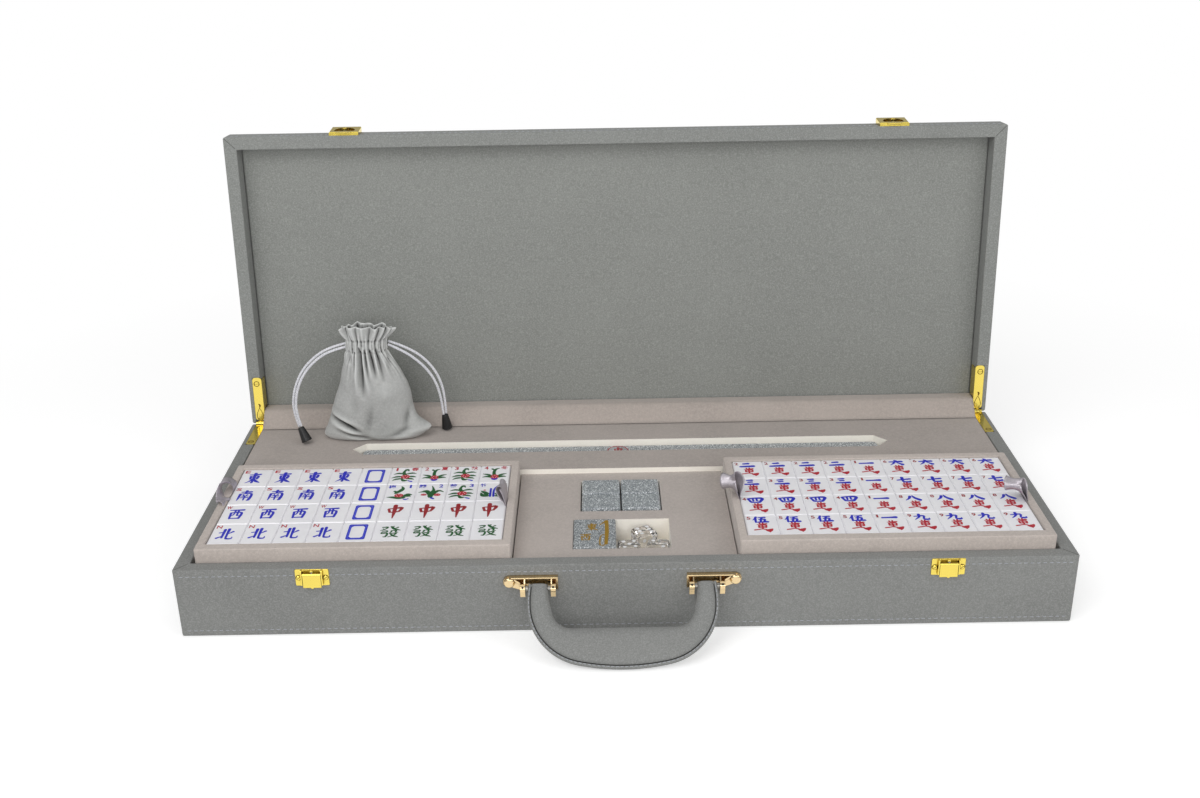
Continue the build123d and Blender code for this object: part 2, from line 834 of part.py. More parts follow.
with BuildPart() as handle_pads:
    for side in (-1, 1):
        with BuildSketch(handle_plane.offset(side * core_thickness / 2)):
            add(handle_outline(pad_inset, leg_end_radius + 0.2))
        extrude(amount=side * pad_thickness)
    across = Axis(handle_plane.origin, handle_plane.z_dir)
    pad_faces = handle_pads.faces().filter_by(across).sort_by(across)
    fillet(pad_faces[0].edges() + pad_faces[-1].edges(), pad_radius)
save("handle_pads", handle_pads.part)

# ---------------------------------------------------------------- trays, tiles and satin pulls
with BuildPart() as face_tile:
    Box(tile_width, tile_length, tile_height, align=(Align.CENTER, Align.CENTER, Align.MIN))
    chamfer(face_tile.edges(), tile_chamfer)

with BuildPart() as plain_tile:
    Box(tile_width, tile_length, tile_height, align=(Align.CENTER, Align.CENTER, Align.MIN))
    chamfer(plain_tile.edges().filter_by(Axis.Z), tile_chamfer)


def tray(x, z):
    """A velvet-covered foam tray, open at the top."""
    with BuildPart() as box:
        with BuildSketch(Plane(origin=(x, tray_centre_y, z))):
            RectangleRounded(tray_length, tray_depth, tray_radius)
        extrude(amount=tray_height)
        with BuildSketch(Plane(origin=(x, cavity_centre_y, z + tray_floor))):
            Rectangle(cavity_length, cavity_depth)
        extrude(amount=tray_height, mode=Mode.SUBTRACT)
        fillet(box.faces().sort_by(Axis.Z)[-1].edges(), foam_radius)
    return box.part


def tiles(x, z, tile):
    """The thirty-six tiles of a tray, face up."""
    with BuildPart(Plane(origin=(x, cavity_centre_y, z + tray_floor))) as group:
        with GridLocations(tile_pitch_x, tile_pitch_y, tile_columns, tile_rows):
            add(tile)
    return group.part


def pull_loops(x, z):
    """A satin loop at each end of the upper tray, standing over the gap beside the tiles."""
    loop_z = z + tray_height + cover_clearance
    half_span = pull_length / 2
    with BuildPart() as loops:
        for side in (-1, 1):
            gap_x = x + side * cavity_length / 2
            middle = (gap_x - side * pull_offset_x, cavity_centre_y + pull_offset, loop_z)
            with BuildSketch(Plane(origin=middle, x_dir=(0, 1, 0), z_dir=(1, 0, 0))):
                with BuildLine():
                    outer = EllipticalCenterArc((0, 0), half_span, pull_bulge, arc_size=180)
                    inner = EllipticalCenterArc(
                        (0, 0),
                        half_span - pull_thickness,
                        pull_bulge - pull_thickness,
                        arc_size=180,
                    )
                    Line(outer @ 0, inner @ 0)
                    Line(outer @ 1, inner @ 1)
                make_face()
            extrude(amount=pull_band / 2, both=True)
    return loops.part


def flat_pulls(x, z):
    """The lower tray's satin pulls, pressed flat between its tiles and the tray above."""
    lift = (tray_lip - flat_pull_thickness) / 2
    with BuildPart() as bands:
        for side in (-1, 1):
            spot = (x + side * (cavity_length / 2 - pull_band), cavity_centre_y + pull_offset)
            with BuildSketch(Plane.XY.offset(z + tray_floor + tile_height + lift)):
                with Locations(spot):
                    Rectangle(pull_band, flat_pull_length)
            extrude(amount=flat_pull_thickness)
    return bands.part


lower_z = pad_top + seat_gap
upper_z = lower_z + tray_height + seat_gap
for name, sign in (("left", -1), ("right", 1)):
    x = sign * tray_centre_x
    save(f"tray_{name}_lower", tray(x, lower_z))
    save(f"tray_{name}_upper", tray(x, upper_z))
    save(f"tiles_{name}_lower", tiles(x, lower_z, plain_tile.part))
    save(f"tiles_{name}_upper", tiles(x, upper_z, face_tile.part))
    save(f"pulls_{name}_lower", flat_pulls(x, lower_z))
    save(f"pulls_{name}_upper", pull_loops(x, upper_z))

# ---------------------------------------------------------------- loose pieces of the set
loose_z = pocket_floor + seat_gap
with BuildPart(Plane(origin=(*spare_centre, loose_z))) as spare_tiles:
    with GridLocations(tile_length + spare_gap, tile_width + spare_gap, 2, 2):
        add(face_tile.part, rotation=(0, 0, 90))
save("spare_tiles", spare_tiles.part)

with BuildPart(Plane(origin=(marker_centre_x, (well_front + well_back) / 2, loose_z))) as marker:
    Box(marker_width, marker_depth, marker_height, align=(Align.CENTER, Align.CENTER, Align.MIN))
    chamfer(marker.edges(), tile_chamfer)
save("dealer_marker", marker.part)

with BuildPart() as die:
    Box(die_size, die_size, die_size, align=(Align.CENTER, Align.CENTER, Align.MIN))
    fillet(die.edges(), die_radius)
dice = (("left", 4.0, -99.2, 6), ("right", 28.4, -99.2, -7), ("rear", 17.6, -75.6, 24))
for name, x, y, turn in dice:
    with BuildPart(Plane(origin=(x, y, loose_z))) as placed_die:
        add(die.part, rotation=(0, 0, turn))
    save(f"die_{name}", placed_die.part)


def ruler(step):
    """One of the stacked rulers, counted from the floor of the slot."""
    z = pad_top + seat_gap + step * (ruler_thickness + ruler_gap)
    with BuildPart() as bar:
        with BuildSketch(Plane(origin=(0, slot_centre_y, z))):
            RectangleRounded(ruler_length, ruler_width, ruler_radius)
        extrude(amount=ruler_thickness)
        chamfer(bar.faces().sort_by(Axis.Z)[-1].edges(), tile_chamfer)
    return bar.part


save("ruler_top", ruler(ruler_count - 1))
with BuildPart() as lower_rulers:
    for step in range(ruler_count - 1):
        add(ruler(step))
save("rulers_lower", lower_rulers.part)

# ---------------------------------------------------------------- drawstring pouch
pouch_base = rear_top + pouch_gap
pouch_sections = (
    (0.0, 46.0, 12.5),
    (8.0, 50.0, 16.5),
    (20.0, 42.5, 17.5),
    (38.0, 36.0, 17.0),
    (56.0, 30.0, 15.5),
    (75.0, 23.5, 13.0),
    (88.0, 19.2, 11.5),
    (95.0, 18.4, 11.0),
    (105.0, 22.0, 12.5),
    (117.0, 27.5, 15.0),
)
with BuildPart() as pouch:
    for height, rx, ry in pouch_sections:
        turned = Plane(origin=(*pouch_centre, pouch_base + height)).rotated((0, 0, pouch_turn))
        with BuildSketch(turned):
            Ellipse(rx, ry)
    loft(ruled=True)
save("pouch_bag", pouch.part)

strands = {
    "left_front": (
        (-262.0, 110.0, 158.0),
        (-277.5, 109.6, 154.2),
        (-291.3, 108.6, 145.8),
        (-303.3, 107.0, 133.6),
        (-311.0, 104.6, 118.6),
        (-314.2, 102.0, 103.2),
        (-313.0, 99.6, 90.0),
        (-310.2, 98.3, 80.3),
    ),
    "left_back": (
        (-262.0, 112.8, 160.6),
        (-277.6, 112.2, 157.0),
        (-293.0, 111.2, 148.0),
        (-305.8, 109.4, 135.0),
        (-313.8, 107.0, 119.2),
        (-317.3, 104.4, 103.2),
        (-315.6, 101.6, 89.6),
        (-312.4, 100.0, 78.9),
    ),
    "right_front": (
        (-222.0, 114.6, 158.0),
        (-210.2, 116.2, 151.6),
        (-197.0, 117.4, 141.6),
        (-186.2, 118.4, 129.6),
        (-179.0, 119.4, 116.0),
        (-175.0, 120.3, 99.0),
        (-173.8, 121.0, 80.1),
    ),
    "right_back": (
        (-222.0, 117.6, 160.4),
        (-207.5, 118.8, 154.4),
        (-191.4, 119.8, 143.8),
        (-179.6, 120.6, 129.0),
        (-173.6, 121.4, 113.0),
        (-171.6, 122.2, 97.0),
        (-171.6, 123.3, 80.4),
    ),
}


def bend_radii(points):
    """The largest arc that each corner of a route takes from its shorter run."""
    spots = [Vector(*p) for p in points]
    radii = []
    for before, here, after in zip(spots, spots[1:], spots[2:]):
        into, out = here - before, after - here
        turn = radians(into.get_angle(out))
        radii.append(0.45 * min(into.length, out.length) / tan(turn / 2))
    return radii


def strand(points):
    """One strand of the drawstring: straight runs joined by tangent arcs."""
    with BuildPart() as tube:
        with BuildLine() as route:
            FilletPolyline(*points, radius=bend_radii(points))
        with BuildSketch(Plane(origin=route.wire() @ 0, z_dir=route.wire() % 0)):
            Circle(cord_diameter / 2)
        sweep(path=route.wire())
    expected = pi * (cord_diameter / 2) ** 2 * route.wire().length
    print(f"length {route.wire().length:.1f} mm, volume {tube.part.volume:.1f} of {expected:.1f} mm3")
    return tube.part


for name, points in strands.items():
    print(f"cord_{name}: radii", [round(r, 1) for r in bend_radii(points)])
    save(f"cord_{name}", strand(points))


def bell(top, bottom):
    """A bell stopper that holds a pair of strand ends."""
    along = (Vector(*bottom) - Vector(*top)).normalized()
    across = along.cross(Vector(0, 1, 0)).normalized()
    with BuildPart() as stopper:
        with BuildSketch(Plane(origin=top, x_dir=across, z_dir=across.cross(along))):
            with BuildLine():
                Polyline(
                    (0, 0),
                    (bell_top_radius - bell_edge, 0),
                    (bell_top_radius, bell_edge),
                    (bell_bottom_radius, bell_length - bell_edge),
                    (bell_bottom_radius - bell_edge, bell_length),
                    (0, bell_length),
                    close=True,
                )
            make_face()
        revolve(axis=Axis(top, along))
    return stopper.part


save("bell_left", bell((-311.1, 99.0, 79.0), (-305.3, 95.1, 65.8)))
save("bell_right", bell((-172.6, 122.2, 79.6), (-171.3, 122.8, 64.7)))
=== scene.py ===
import math
import random

import bmesh
import bpy
from mathutils import Matrix, Vector, noise


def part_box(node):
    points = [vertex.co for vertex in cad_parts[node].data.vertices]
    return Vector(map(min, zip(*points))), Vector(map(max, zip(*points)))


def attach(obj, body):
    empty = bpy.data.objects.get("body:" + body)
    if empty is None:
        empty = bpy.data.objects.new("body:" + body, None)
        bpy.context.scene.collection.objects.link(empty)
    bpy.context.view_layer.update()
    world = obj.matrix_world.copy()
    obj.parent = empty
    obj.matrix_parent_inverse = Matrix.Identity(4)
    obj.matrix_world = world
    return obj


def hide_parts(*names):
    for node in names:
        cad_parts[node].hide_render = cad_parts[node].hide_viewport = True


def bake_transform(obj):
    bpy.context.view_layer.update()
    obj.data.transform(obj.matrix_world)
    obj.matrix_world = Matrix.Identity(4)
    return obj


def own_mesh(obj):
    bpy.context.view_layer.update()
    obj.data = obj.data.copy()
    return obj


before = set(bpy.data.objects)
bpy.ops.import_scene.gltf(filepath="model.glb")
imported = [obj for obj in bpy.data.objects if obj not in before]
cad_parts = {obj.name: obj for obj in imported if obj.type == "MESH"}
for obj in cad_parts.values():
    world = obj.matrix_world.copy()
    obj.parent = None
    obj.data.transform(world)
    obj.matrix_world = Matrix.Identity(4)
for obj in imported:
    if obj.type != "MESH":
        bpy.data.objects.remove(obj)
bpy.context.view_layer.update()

scene = bpy.context.scene
MM = 0.001
SIDES = ("left", "right")
LEVELS = ("lower", "upper")
WHITE = (1.0, 1.0, 1.0, 1.0)


# ---------------------------------------------------------------- camera
camera = bpy.data.objects.new("camera", bpy.data.cameras.new("camera"))
scene.collection.objects.link(camera)
camera.data.sensor_width = 36.0
camera.data.sensor_fit = "HORIZONTAL"
camera.data.lens = 40.04
camera.data.clip_start = 0.01
camera.location = (-0.018623, -1.084275, 0.621353)
camera.rotation_euler = [math.radians(a) for a in (66.36232, 0.89678, -0.38459)]
scene.camera = camera


# ---------------------------------------------------------------- material tools
class Graph:
    """A node graph, with short calls for the nodes used here."""

    def __init__(self, owner):
        owner.use_nodes = True
        self.tree = owner.node_tree
        self.tree.nodes.clear()

    def node(self, kind, inputs=None, **props):
        """A new node; inputs gives a link or a value for some of its sockets, by name or number."""
        made = self.tree.nodes.new(kind)
        for key, value in props.items():
            setattr(made, key, value)
        for key, value in (inputs or {}).items():
            self.put(made.inputs[key], value)
        return made

    def put(self, socket, value):
        """Links an output, or sets a plain value."""
        if isinstance(value, bpy.types.NodeSocket):
            self.tree.links.new(value, socket)
        else:
            socket.default_value = value

    def math(self, operation, first, second=0.0):
        return self.node("ShaderNodeMath", {0: first, 1: second}, operation=operation).outputs[0]

    def vector(self, operation, inputs):
        return self.node("ShaderNodeVectorMath", inputs, operation=operation).outputs

    def mixed(self, factor, first, second):
        """A mix of two shaders."""
        return self.node("ShaderNodeMixShader", {0: factor, 1: first, 2: second}).outputs[0]


class Surface(Graph):
    """The graph of a new material: one principled shader, and patterns in object coordinates."""

    def __init__(self, name):
        self.material = bpy.data.materials.new(name)
        super().__init__(self.material)
        self.shader = self.node("ShaderNodeBsdfPrincipled")
        self.out = self.node("ShaderNodeOutputMaterial", {0: self.shader.outputs[0]})
        self.place = self.node("ShaderNodeTexCoord").outputs["Object"]

    def stretch(self, scale):
        return self.node("ShaderNodeMapping", {"Vector": self.place, "Scale": scale}).outputs[0]

    def noise(self, scale, detail=3.0, rough=0.5):
        """A noise pattern; three scales stretch it along the axes."""
        if isinstance(scale, tuple):
            place, scale = self.stretch(scale), 1.0
        else:
            place = self.place
        values = {"Vector": place, "Scale": scale, "Detail": detail, "Roughness": rough}
        return self.node("ShaderNodeTexNoise", values).outputs["Fac"]

    def cells(self, scale, output="Color"):
        return self.node("ShaderNodeTexVoronoi", {"Vector": self.place, "Scale": scale}).outputs[output]

    def remap(self, value, low, high, to_low=0.0, to_high=1.0):
        values = {"Value": value, "From Min": low, "From Max": high, "To Min": to_low, "To Max": to_high}
        return self.node("ShaderNodeMapRange", values).outputs[0]

    def blend(self, factor, first, second):
        """A mix of two colours."""
        return self.node("ShaderNodeMix", {0: factor, 6: first, 7: second}, data_type="RGBA").outputs[2]

    def split(self, vector):
        return self.node("ShaderNodeSeparateXYZ", {0: vector}).outputs

    def normal(self):
        return self.node("ShaderNodeNewGeometry").outputs["Normal"]

    def bump(self, height, distance, strength=1.0, **values):
        values = {"Height": height, "Distance": distance, "Strength": strength, **values}
        return self.node("ShaderNodeBump", values).outputs[0]

    def set(self, **values):
        """Sets or links the shader's own sockets, with underscores for spaces, and gives the material."""
        for key, value in values.items():
            self.put(self.shader.inputs[key.replace("_", " ")], value)
        return self.material


def rgb(red, green, blue):
    """A colour written as it reads in a picture, 0 to 255."""
    def linear(value):
        value /= 255.0
        return value / 12.92 if value <= 0.04045 else ((value + 0.055) / 1.055) ** 2.4
    return (linear(red), linear(green), linear(blue), 1.0)


def tint(colour, *shares):
    """A colour times one share, or times a share of its own for each channel."""
    shares = shares if len(shares) == 3 else shares * 3
    return tuple(c * share for c, share in zip(colour, shares)) + (1.0,)


FAINT_BUMP = (0.00005, 0.3)


def two_tone(name, tones, grain, rough, bump=None, fade=(0.3, 0.7), **values):
    """A plain surface: one noise drives the step between two tones, the gloss and the bumps.

    grain holds the noise's scale, detail and roughness, bump its height and strength, and fade the part
    of the noise over which the tones change; without a fade the noise itself mixes them.
    """
    g = Surface(name)
    fleck = g.noise(*grain)
    factor = g.remap(fleck, *fade) if fade else fleck
    g.set(Base_Color=g.blend(factor, *tones), Roughness=g.remap(fleck, 0.3, 0.7, *rough), **values)
    return g.set(Normal=g.bump(fleck, *bump)) if bump else g.material


# ---------------------------------------------------------------- leather, velvet and metal
def leather(name, colour, spread=0.07, grain=1.0):
    """Soft grey artificial leather: a pebbled grain of mixed tones over faint large patches."""
    g = Surface(name)
    cloud = g.noise(9.0, 6.0, 0.6)
    mottle = g.noise(380.0 * grain, 3.0, 0.65)
    nap = g.noise(820.0 * grain, 2.0, 0.7)
    pebbles = g.cells(640.0 * grain, "Distance")
    base = g.blend(g.remap(cloud, 0.35, 0.65), tint(colour, 1 - spread), tint(colour, 1 + spread))
    base = g.blend(g.remap(mottle, 0.34, 0.66, 0.0, 0.4), base, tint(colour, 0.76))
    base = g.blend(g.remap(nap, 0.42, 0.72, 0.0, 0.7), base, tint(colour, 1.6))
    fine = g.bump(pebbles, 0.00016, 0.35)
    return g.set(
        Base_Color=base, Roughness=g.remap(nap, 0.3, 0.7, 0.56, 0.72), Specular_IOR_Level=0.35,
        Sheen_Weight=0.1, Sheen_Roughness=0.5, Normal=g.bump(mottle, 0.00025, 0.3, Normal=fine),
    )


def velvet(name, colour, spread=0.035, sheen=0.3):
    """The graph of flocked velvet: a short even pile with faint brushed patches; tone is its colour."""
    g = Surface(name)
    patch = g.noise(16.0, 3.0, 0.5)
    tuft = g.noise(420.0, 3.0, 0.7)
    pile = g.noise(1500.0, 2.0, 0.7)
    base = g.blend(g.remap(patch, 0.35, 0.65), tint(colour, 1 - 2 * spread), tint(colour, 1 + 2 * spread))
    base = g.blend(g.remap(tuft, 0.4, 0.7, 0.0, 0.7), base, tint(colour, 1.25))
    g.tone = g.blend(g.remap(pile, 0.3, 0.72, 0.0, 0.45), base, tint(colour, 0.68))
    g.set(Base_Color=g.tone, Roughness=0.92, Specular_IOR_Level=0.12, Sheen_Weight=sheen,
          Sheen_Roughness=0.45, Normal=g.bump(pile, 0.00025, 0.6))
    return g


def layered_velvet(name, colour, cut_colour):
    """Velvet on the faces that look up or down, and bare cream foam on the cut faces."""
    g = velvet(name, colour)
    level = g.math("ABSOLUTE", g.split(g.normal())["Z"])
    cells = g.noise(700.0, 3.0, 0.7)
    cut = g.blend(g.remap(cells, 0.3, 0.7), cut_colour, tint(cut_colour, 0.95))
    return g.set(Base_Color=g.blend(g.math("GREATER_THAN", level, 0.6), cut, g.tone))


def folded_velvet(name, colour, dark, light):
    """Velvet with painted shade in its folds and painted highlights on their crests."""
    g = velvet(name, colour, 0.07, 0.15)
    # painted shade and highlight: pointiness blends the concave folds toward the dark colour and the convex
    # crests toward the light one
    fold = g.node("ShaderNodeNewGeometry").outputs["Pointiness"]
    tone = g.blend(g.remap(fold, 0.5, 0.43), g.tone, dark)
    return g.set(Base_Color=g.blend(g.remap(fold, 0.505, 0.56, 0.0, 0.8), tone, light))


def metal(name, colour, rough=0.2, spread=0.06):
    """Plated metal with soft polishing marks, and painted dark shade in crevices and where other parts come
    near.
    """
    g = Surface(name)
    marks = g.noise((60, 60, 240), 3.0, 0.5)
    wear = g.noise(45.0, 3.0, 0.5)
    # painted shade: the ambient-occlusion mask darkens the plate to a dark brown in crevices and near other
    # parts
    painted_shade_ao = g.node("ShaderNodeAmbientOcclusion", {"Distance": 0.004}).outputs["AO"]
    plate = g.blend(g.remap(wear, 0.35, 0.7), colour, tint(colour, 1 - 2 * spread))
    return g.set(
        Base_Color=g.blend(g.remap(painted_shade_ao, 0.3, 0.75), tint(colour, 0.22, 0.16, 0.1), plate),
        Roughness=g.remap(marks, 0.3, 0.7, rough * 0.85, rough * 1.15), Metallic=1.0,
        Normal=g.bump(wear, 0.00002, 0.1),
    )


case_leather = leather("case_leather", rgb(127, 128, 126))
lid_leather = leather("lid_leather", rgb(132, 134, 131))
grip_leather = leather("grip_leather", rgb(126, 127, 125), 0.04, 1.2)
suede = leather("lid_suede", rgb(134, 136, 132), 0.06)

CREAM, FOAM = rgb(255, 250, 240), rgb(250, 243, 232)
tray_velvet = velvet("tray_velvet", rgb(193, 183, 176)).material
strip_velvet = velvet("strip_velvet", rgb(178, 168, 161)).material
# the pouch's last two colours are its painted fold shade and painted crest highlight
pouch_velvet = folded_velvet("pouch_velvet", rgb(180, 181, 179), rgb(56, 56, 55), rgb(222, 224, 222))
insert_velvet = layered_velvet("insert_velvet", rgb(173, 164, 158), CREAM)
centre_velvet = layered_velvet("centre_velvet", rgb(182, 173, 167), CREAM)
foam = layered_velvet("foam", FOAM, FOAM)

gold = metal("gold_plate", rgb(240, 216, 104), 0.16, 0.02)
pale_gold = metal("pale_gold_plate", rgb(232, 206, 160), 0.16, 0.03)
steel = metal("steel", rgb(150, 148, 142), 0.3)
dark_steel = metal("dark_steel", rgb(70, 64, 52), 0.35)
# painted shade: a darker gold for the flat plates that stand for the shade in the latch recesses
recess_gold_shade = two_tone(
    "recess_gold_shade", (rgb(150, 122, 30), rgb(176, 146, 44)), (400.0, 3.0, 0.6), (0.4, 0.55), FAINT_BUMP,
    Metallic=0.8,
)
# painted shade: a dark gold for the rings round screws, the hinge arm's lines and the striker openings
groove_gold_shade = two_tone(
    "groove_shade", (rgb(96, 70, 14), rgb(116, 88, 24)), (500.0, 3.0, 0.6), (0.45, 0.6), FAINT_BUMP,
    Metallic=0.6,
)


# ---------------------------------------------------------------- thread, satin and plastics
satin = two_tone(
    "satin", (rgb(192, 186, 192), rgb(172, 166, 173)), ((500, 4000, 500), 2.0, 0.5), (0.3, 0.4),
    (0.00008, 0.3), Metallic=0.55, Specular_IOR_Level=0.6,
)
cord_satin = two_tone(
    "cord_satin", (rgb(196, 197, 204), rgb(240, 240, 244)), ((1600, 1600, 900), 2.0, 0.6), (0.25, 0.4),
    (0.00015, 0.4), (0.35, 0.65), Sheen_Weight=0.3,
)
thread = two_tone(
    "thread", (rgb(186, 189, 196), rgb(150, 154, 162)), ((2400, 2400, 2400), 2.0, 0.5), (0.5, 0.7),
    (0.00008, 0.4),
)
seam_shade = two_tone(
    "seam_shade", (rgb(84, 84, 82), rgb(100, 100, 98)), (700.0, 3.0, 0.6), (0.7, 0.85), (0.0001, 0.4),
)
# painted shade: a near-black for the tubes that darken the handle's grooves
groove_painted_shade = two_tone(
    "groove_painted_shade", (rgb(32, 32, 31), rgb(42, 42, 40)), (600.0, 3.0, 0.6), (0.7, 0.85), (0.0001, 0.4),
)
black_plastic = two_tone(
    "black_plastic", (rgb(24, 24, 25), rgb(36, 36, 37)), (500.0, 3.0, 0.6), (0.3, 0.42), (0.00008, 0.3),
    None,
)
pip_white = two_tone(
    "pip_white", (rgb(244, 244, 244), rgb(232, 232, 234)), (600.0, 3.0, 0.6), (0.3, 0.4), (0.00004, 0.3),
    None,
)
clear_resin = two_tone(
    "clear_resin", (rgb(226, 224, 222), rgb(240, 239, 238)), (120.0, 3.0, 0.5), (0.01, 0.05), None, None,
    Transmission_Weight=1.0, IOR=1.46,
)


def paint(name, colour):
    """Gloss enamel wiped into the engraving, a little thin in places."""
    pale = tuple(min(1.0, c * 1.12 + 0.004) for c in colour[:3]) + (1.0,)
    return two_tone(f"paint_{name}", (colour, pale), (900.0, 3.0, 0.6), (0.3, 0.45), FAINT_BUMP,
                    (0.42, 0.75))


INKS = {
    "blue": rgb(14, 26, 188), "pale_blue": rgb(84, 100, 224), "red": rgb(180, 14, 42),
    "dark_red": rgb(150, 14, 28), "green": rgb(6, 86, 32), "pink": rgb(240, 190, 198),
}
PAINTS = {name: paint(name, colour) for name, colour in INKS.items()}
mark_gold = paint("gold", rgb(150, 116, 18))


# ---------------------------------------------------------------- glitter and tile resin
FLAKES = 1500.0


def glitter(name, base_colour, spark):
    """Silver flakes in resin: a few bright flakes among grey ones, each with its own tilt."""
    g = Surface(name)
    flake = g.cells(FLAKES)
    tone = g.split(flake)
    speck = g.split(g.cells(FLAKES * 2.3))
    grey = g.blend(tone["X"], base_colour, tint(base_colour, 1.55))
    base = g.blend(g.remap(tone["Y"], 0.74, 0.9), grey, spark)
    base = g.blend(g.remap(speck["X"], 0.84, 0.95, 0.0, 0.8), base, spark)
    lean = g.vector("SUBTRACT", {0: flake, 1: (0.5, 0.5, 0.5)})[0]
    tilt = g.vector("SCALE", {0: lean, "Scale": 0.6})[0]
    tilted = g.vector("ADD", {0: g.normal(), 1: tilt})[0]
    return g.set(Base_Color=base, Normal=g.vector("NORMALIZE", {0: tilted})[0], Specular_IOR_Level=0.4,
                 Roughness=g.remap(tone["Z"], 0.0, 1.0, 0.35, 0.6))


def tile_resin(name, border, face_up=True):
    """White resin over a silver glitter back; they meet at the height border."""
    g = Surface(name)
    cloud = g.noise(60.0, 3.0, 0.5)
    white = g.blend(g.remap(cloud, 0.3, 0.7), rgb(248, 247, 251), rgb(242, 241, 246))
    flake = g.split(g.cells(FLAKES))
    back = g.blend(flake["X"], rgb(119, 125, 129), rgb(149, 155, 159))
    back = g.blend(g.remap(flake["Y"], 0.72, 0.9), back, rgb(232, 236, 238))
    face = g.math("GREATER_THAN" if face_up else "LESS_THAN", g.split(g.place)["Z"], border)
    return g.set(
        Base_Color=g.blend(face, back, white), Roughness=0.28, Normal=g.bump(cloud, 0.0001, 0.15),
        Subsurface_Weight=0.35, Subsurface_Radius=(1.0, 1.0, 1.0), Subsurface_Scale=0.003,
        Coat_Weight=0.3, Coat_Roughness=0.12,
    )


silver_glitter = glitter("silver_glitter", rgb(116, 121, 124), rgb(244, 247, 248))
marker_glitter = glitter("marker_glitter", rgb(104, 109, 112), rgb(234, 238, 240))
FACE_HEIGHT = 0.0135
spare_resin = tile_resin("spare_resin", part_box("spare_tiles")[0][2] + FACE_HEIGHT, False)

# The materials of the CAD nodes; a star stands for left and right.
NODE_MATERIALS = [
    (case_leather, "base_walls base_floor"),
    (lid_leather, "lid_walls lid_top"),
    (grip_leather, "handle_core handle_pads"),
    (suede, "lid_lining_panel"),
    (tray_velvet, "base_floor_pad hinge_cover_strip pouch_bag tray_*_lower tray_*_upper"),
    (foam, "centre_insert_block"),
    (centre_velvet, "centre_insert_layer"),
    (insert_velvet, "rear_insert"),
    (satin, "pulls_*_lower pulls_*_upper cord_*_front cord_*_back"),
    (gold, "hinge_base_leaf_* hinge_lid_leaf_* hinge_base_screws hinge_lid_screws latch_housing_*"
           " latch_screws latch_flap_* striker_*"),
    (pale_gold, "handle_bracket_* bracket_caps"),
    (steel, "hinge_pins handle_pins"),
    (dark_steel, "striker_screws"),
    (silver_glitter, "ruler_top rulers_lower"),
    (marker_glitter, "dealer_marker"),
    (spare_resin, "spare_tiles"),
    (clear_resin, "die_left die_right die_rear"),
    (black_plastic, "bell_*"),
]
for side in SIDES:
    for level in LEVELS:
        node = f"tiles_{side}_{level}"
        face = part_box(node)[1][2] - FACE_HEIGHT
        NODE_MATERIALS.append((tile_resin(f"{node}_resin", face), node))
for material, names in NODE_MATERIALS:
    for side in SIDES:
        for node in names.replace("*", side).split():
            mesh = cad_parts[node].data
            mesh.materials.clear()
            mesh.materials.append(material)


# ---------------------------------------------------------------- mesh tools
def piece(name, verts, faces, body, materials, slot, smooth=True, indices=None):
    """A new mesh object that rides on a CAD body; indices gives each face its material."""
    mesh = bpy.data.meshes.new(name)
    mesh.from_pydata([tuple(v) for v in verts], [], faces)
    for material in materials if isinstance(materials, list) else [materials]:
        mesh.materials.append(material)
    if indices:
        mesh.polygons.foreach_set("material_index", indices)
    mesh.polygons.foreach_set("use_smooth", [smooth] * len(mesh.polygons))
    shape = bmesh.new()
    shape.from_mesh(mesh)
    bmesh.ops.recalc_face_normals(shape, faces=shape.faces)
    shape.to_mesh(mesh)
    shape.free()
    made = bpy.data.objects.new(name, mesh)
    scene.collection.objects.link(made)
    if body:
        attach(made, body)
    return made


def strokes(text):
    """Lines of points from a short text: commas inside a point, blanks between, a slash for a new line."""
    return [[tuple(float(v) for v in spot.split(",")) for spot in line.split()] for line in text.split("/")]


def smooth_line(points, steps=8):
    """A Catmull-Rom line through the points, each a tuple of numbers."""
    ends = [points[0], *points, points[-1]]
    line = []
    for a, b, c, d in zip(ends, ends[1:], ends[2:], ends[3:]):
        for step in range(steps):
            t = step / steps
            line.append(tuple(
                0.5 * (2 * q + (r - p) * t + (2 * p - 5 * q + 4 * r - s) * t**2
                       + (3 * q - p - 3 * r + s) * t**3)
                for p, q, r, s in zip(a, b, c, d)
            ))
    return line + [tuple(points[-1])]


def neighbours(line, i):
    """The points before and after one of a line; an end is its own neighbour."""
    return line[max(i - 1, 0)], line[min(i + 1, len(line) - 1)]


def value_at(table, x):
    """Straight-line interpolation in a table of (x, value) rows."""
    if x <= table[0][0]:
        return table[0][1]
    for (x0, y0), (x1, y1) in zip(table, table[1:]):
        if x <= x1:
            return y0 + (y1 - y0) * (x - x0) / (x1 - x0)
    return table[-1][1]


def grid_faces(rows, columns):
    """Quads between closed rings of points, one ring to a row."""
    faces = []
    for row in range(rows - 1):
        for column in range(columns):
            after = (column + 1) % columns
            a, b = row * columns, (row + 1) * columns
            faces.append((a + column, a + after, b + after, b + column))
    return faces


def capped_faces(rows, columns):
    """The faces between closed rings of points, with the first and the last ring filled."""
    last = (rows - 1) * columns
    return grid_faces(rows, columns) + [tuple(range(columns))[::-1], tuple(range(last, last + columns))]


def tube(points, radius, sides):
    """Points and faces of a round closed tube along a line."""
    line = [Vector(p) for p in points]
    side = (line[1] - line[0]).normalized().orthogonal().normalized()
    verts = []
    for i, place in enumerate(line):
        before, after = neighbours(line, i)
        ahead = (after - before).normalized()
        side = (side - ahead * side.dot(ahead)).normalized()
        other = ahead.cross(side)
        for step in range(sides):
            turn = math.tau * step / sides
            verts.append(place + (side * math.cos(turn) + other * math.sin(turn)) * radius)
    return verts, capped_faces(len(line), sides)


def gather(parts):
    """Joins several (verts, faces) pairs into one."""
    verts, faces = [], []
    for part_verts, part_faces in parts:
        start = len(verts)
        verts += part_verts
        faces += [tuple(start + i for i in face) for face in part_faces]
    return verts, faces


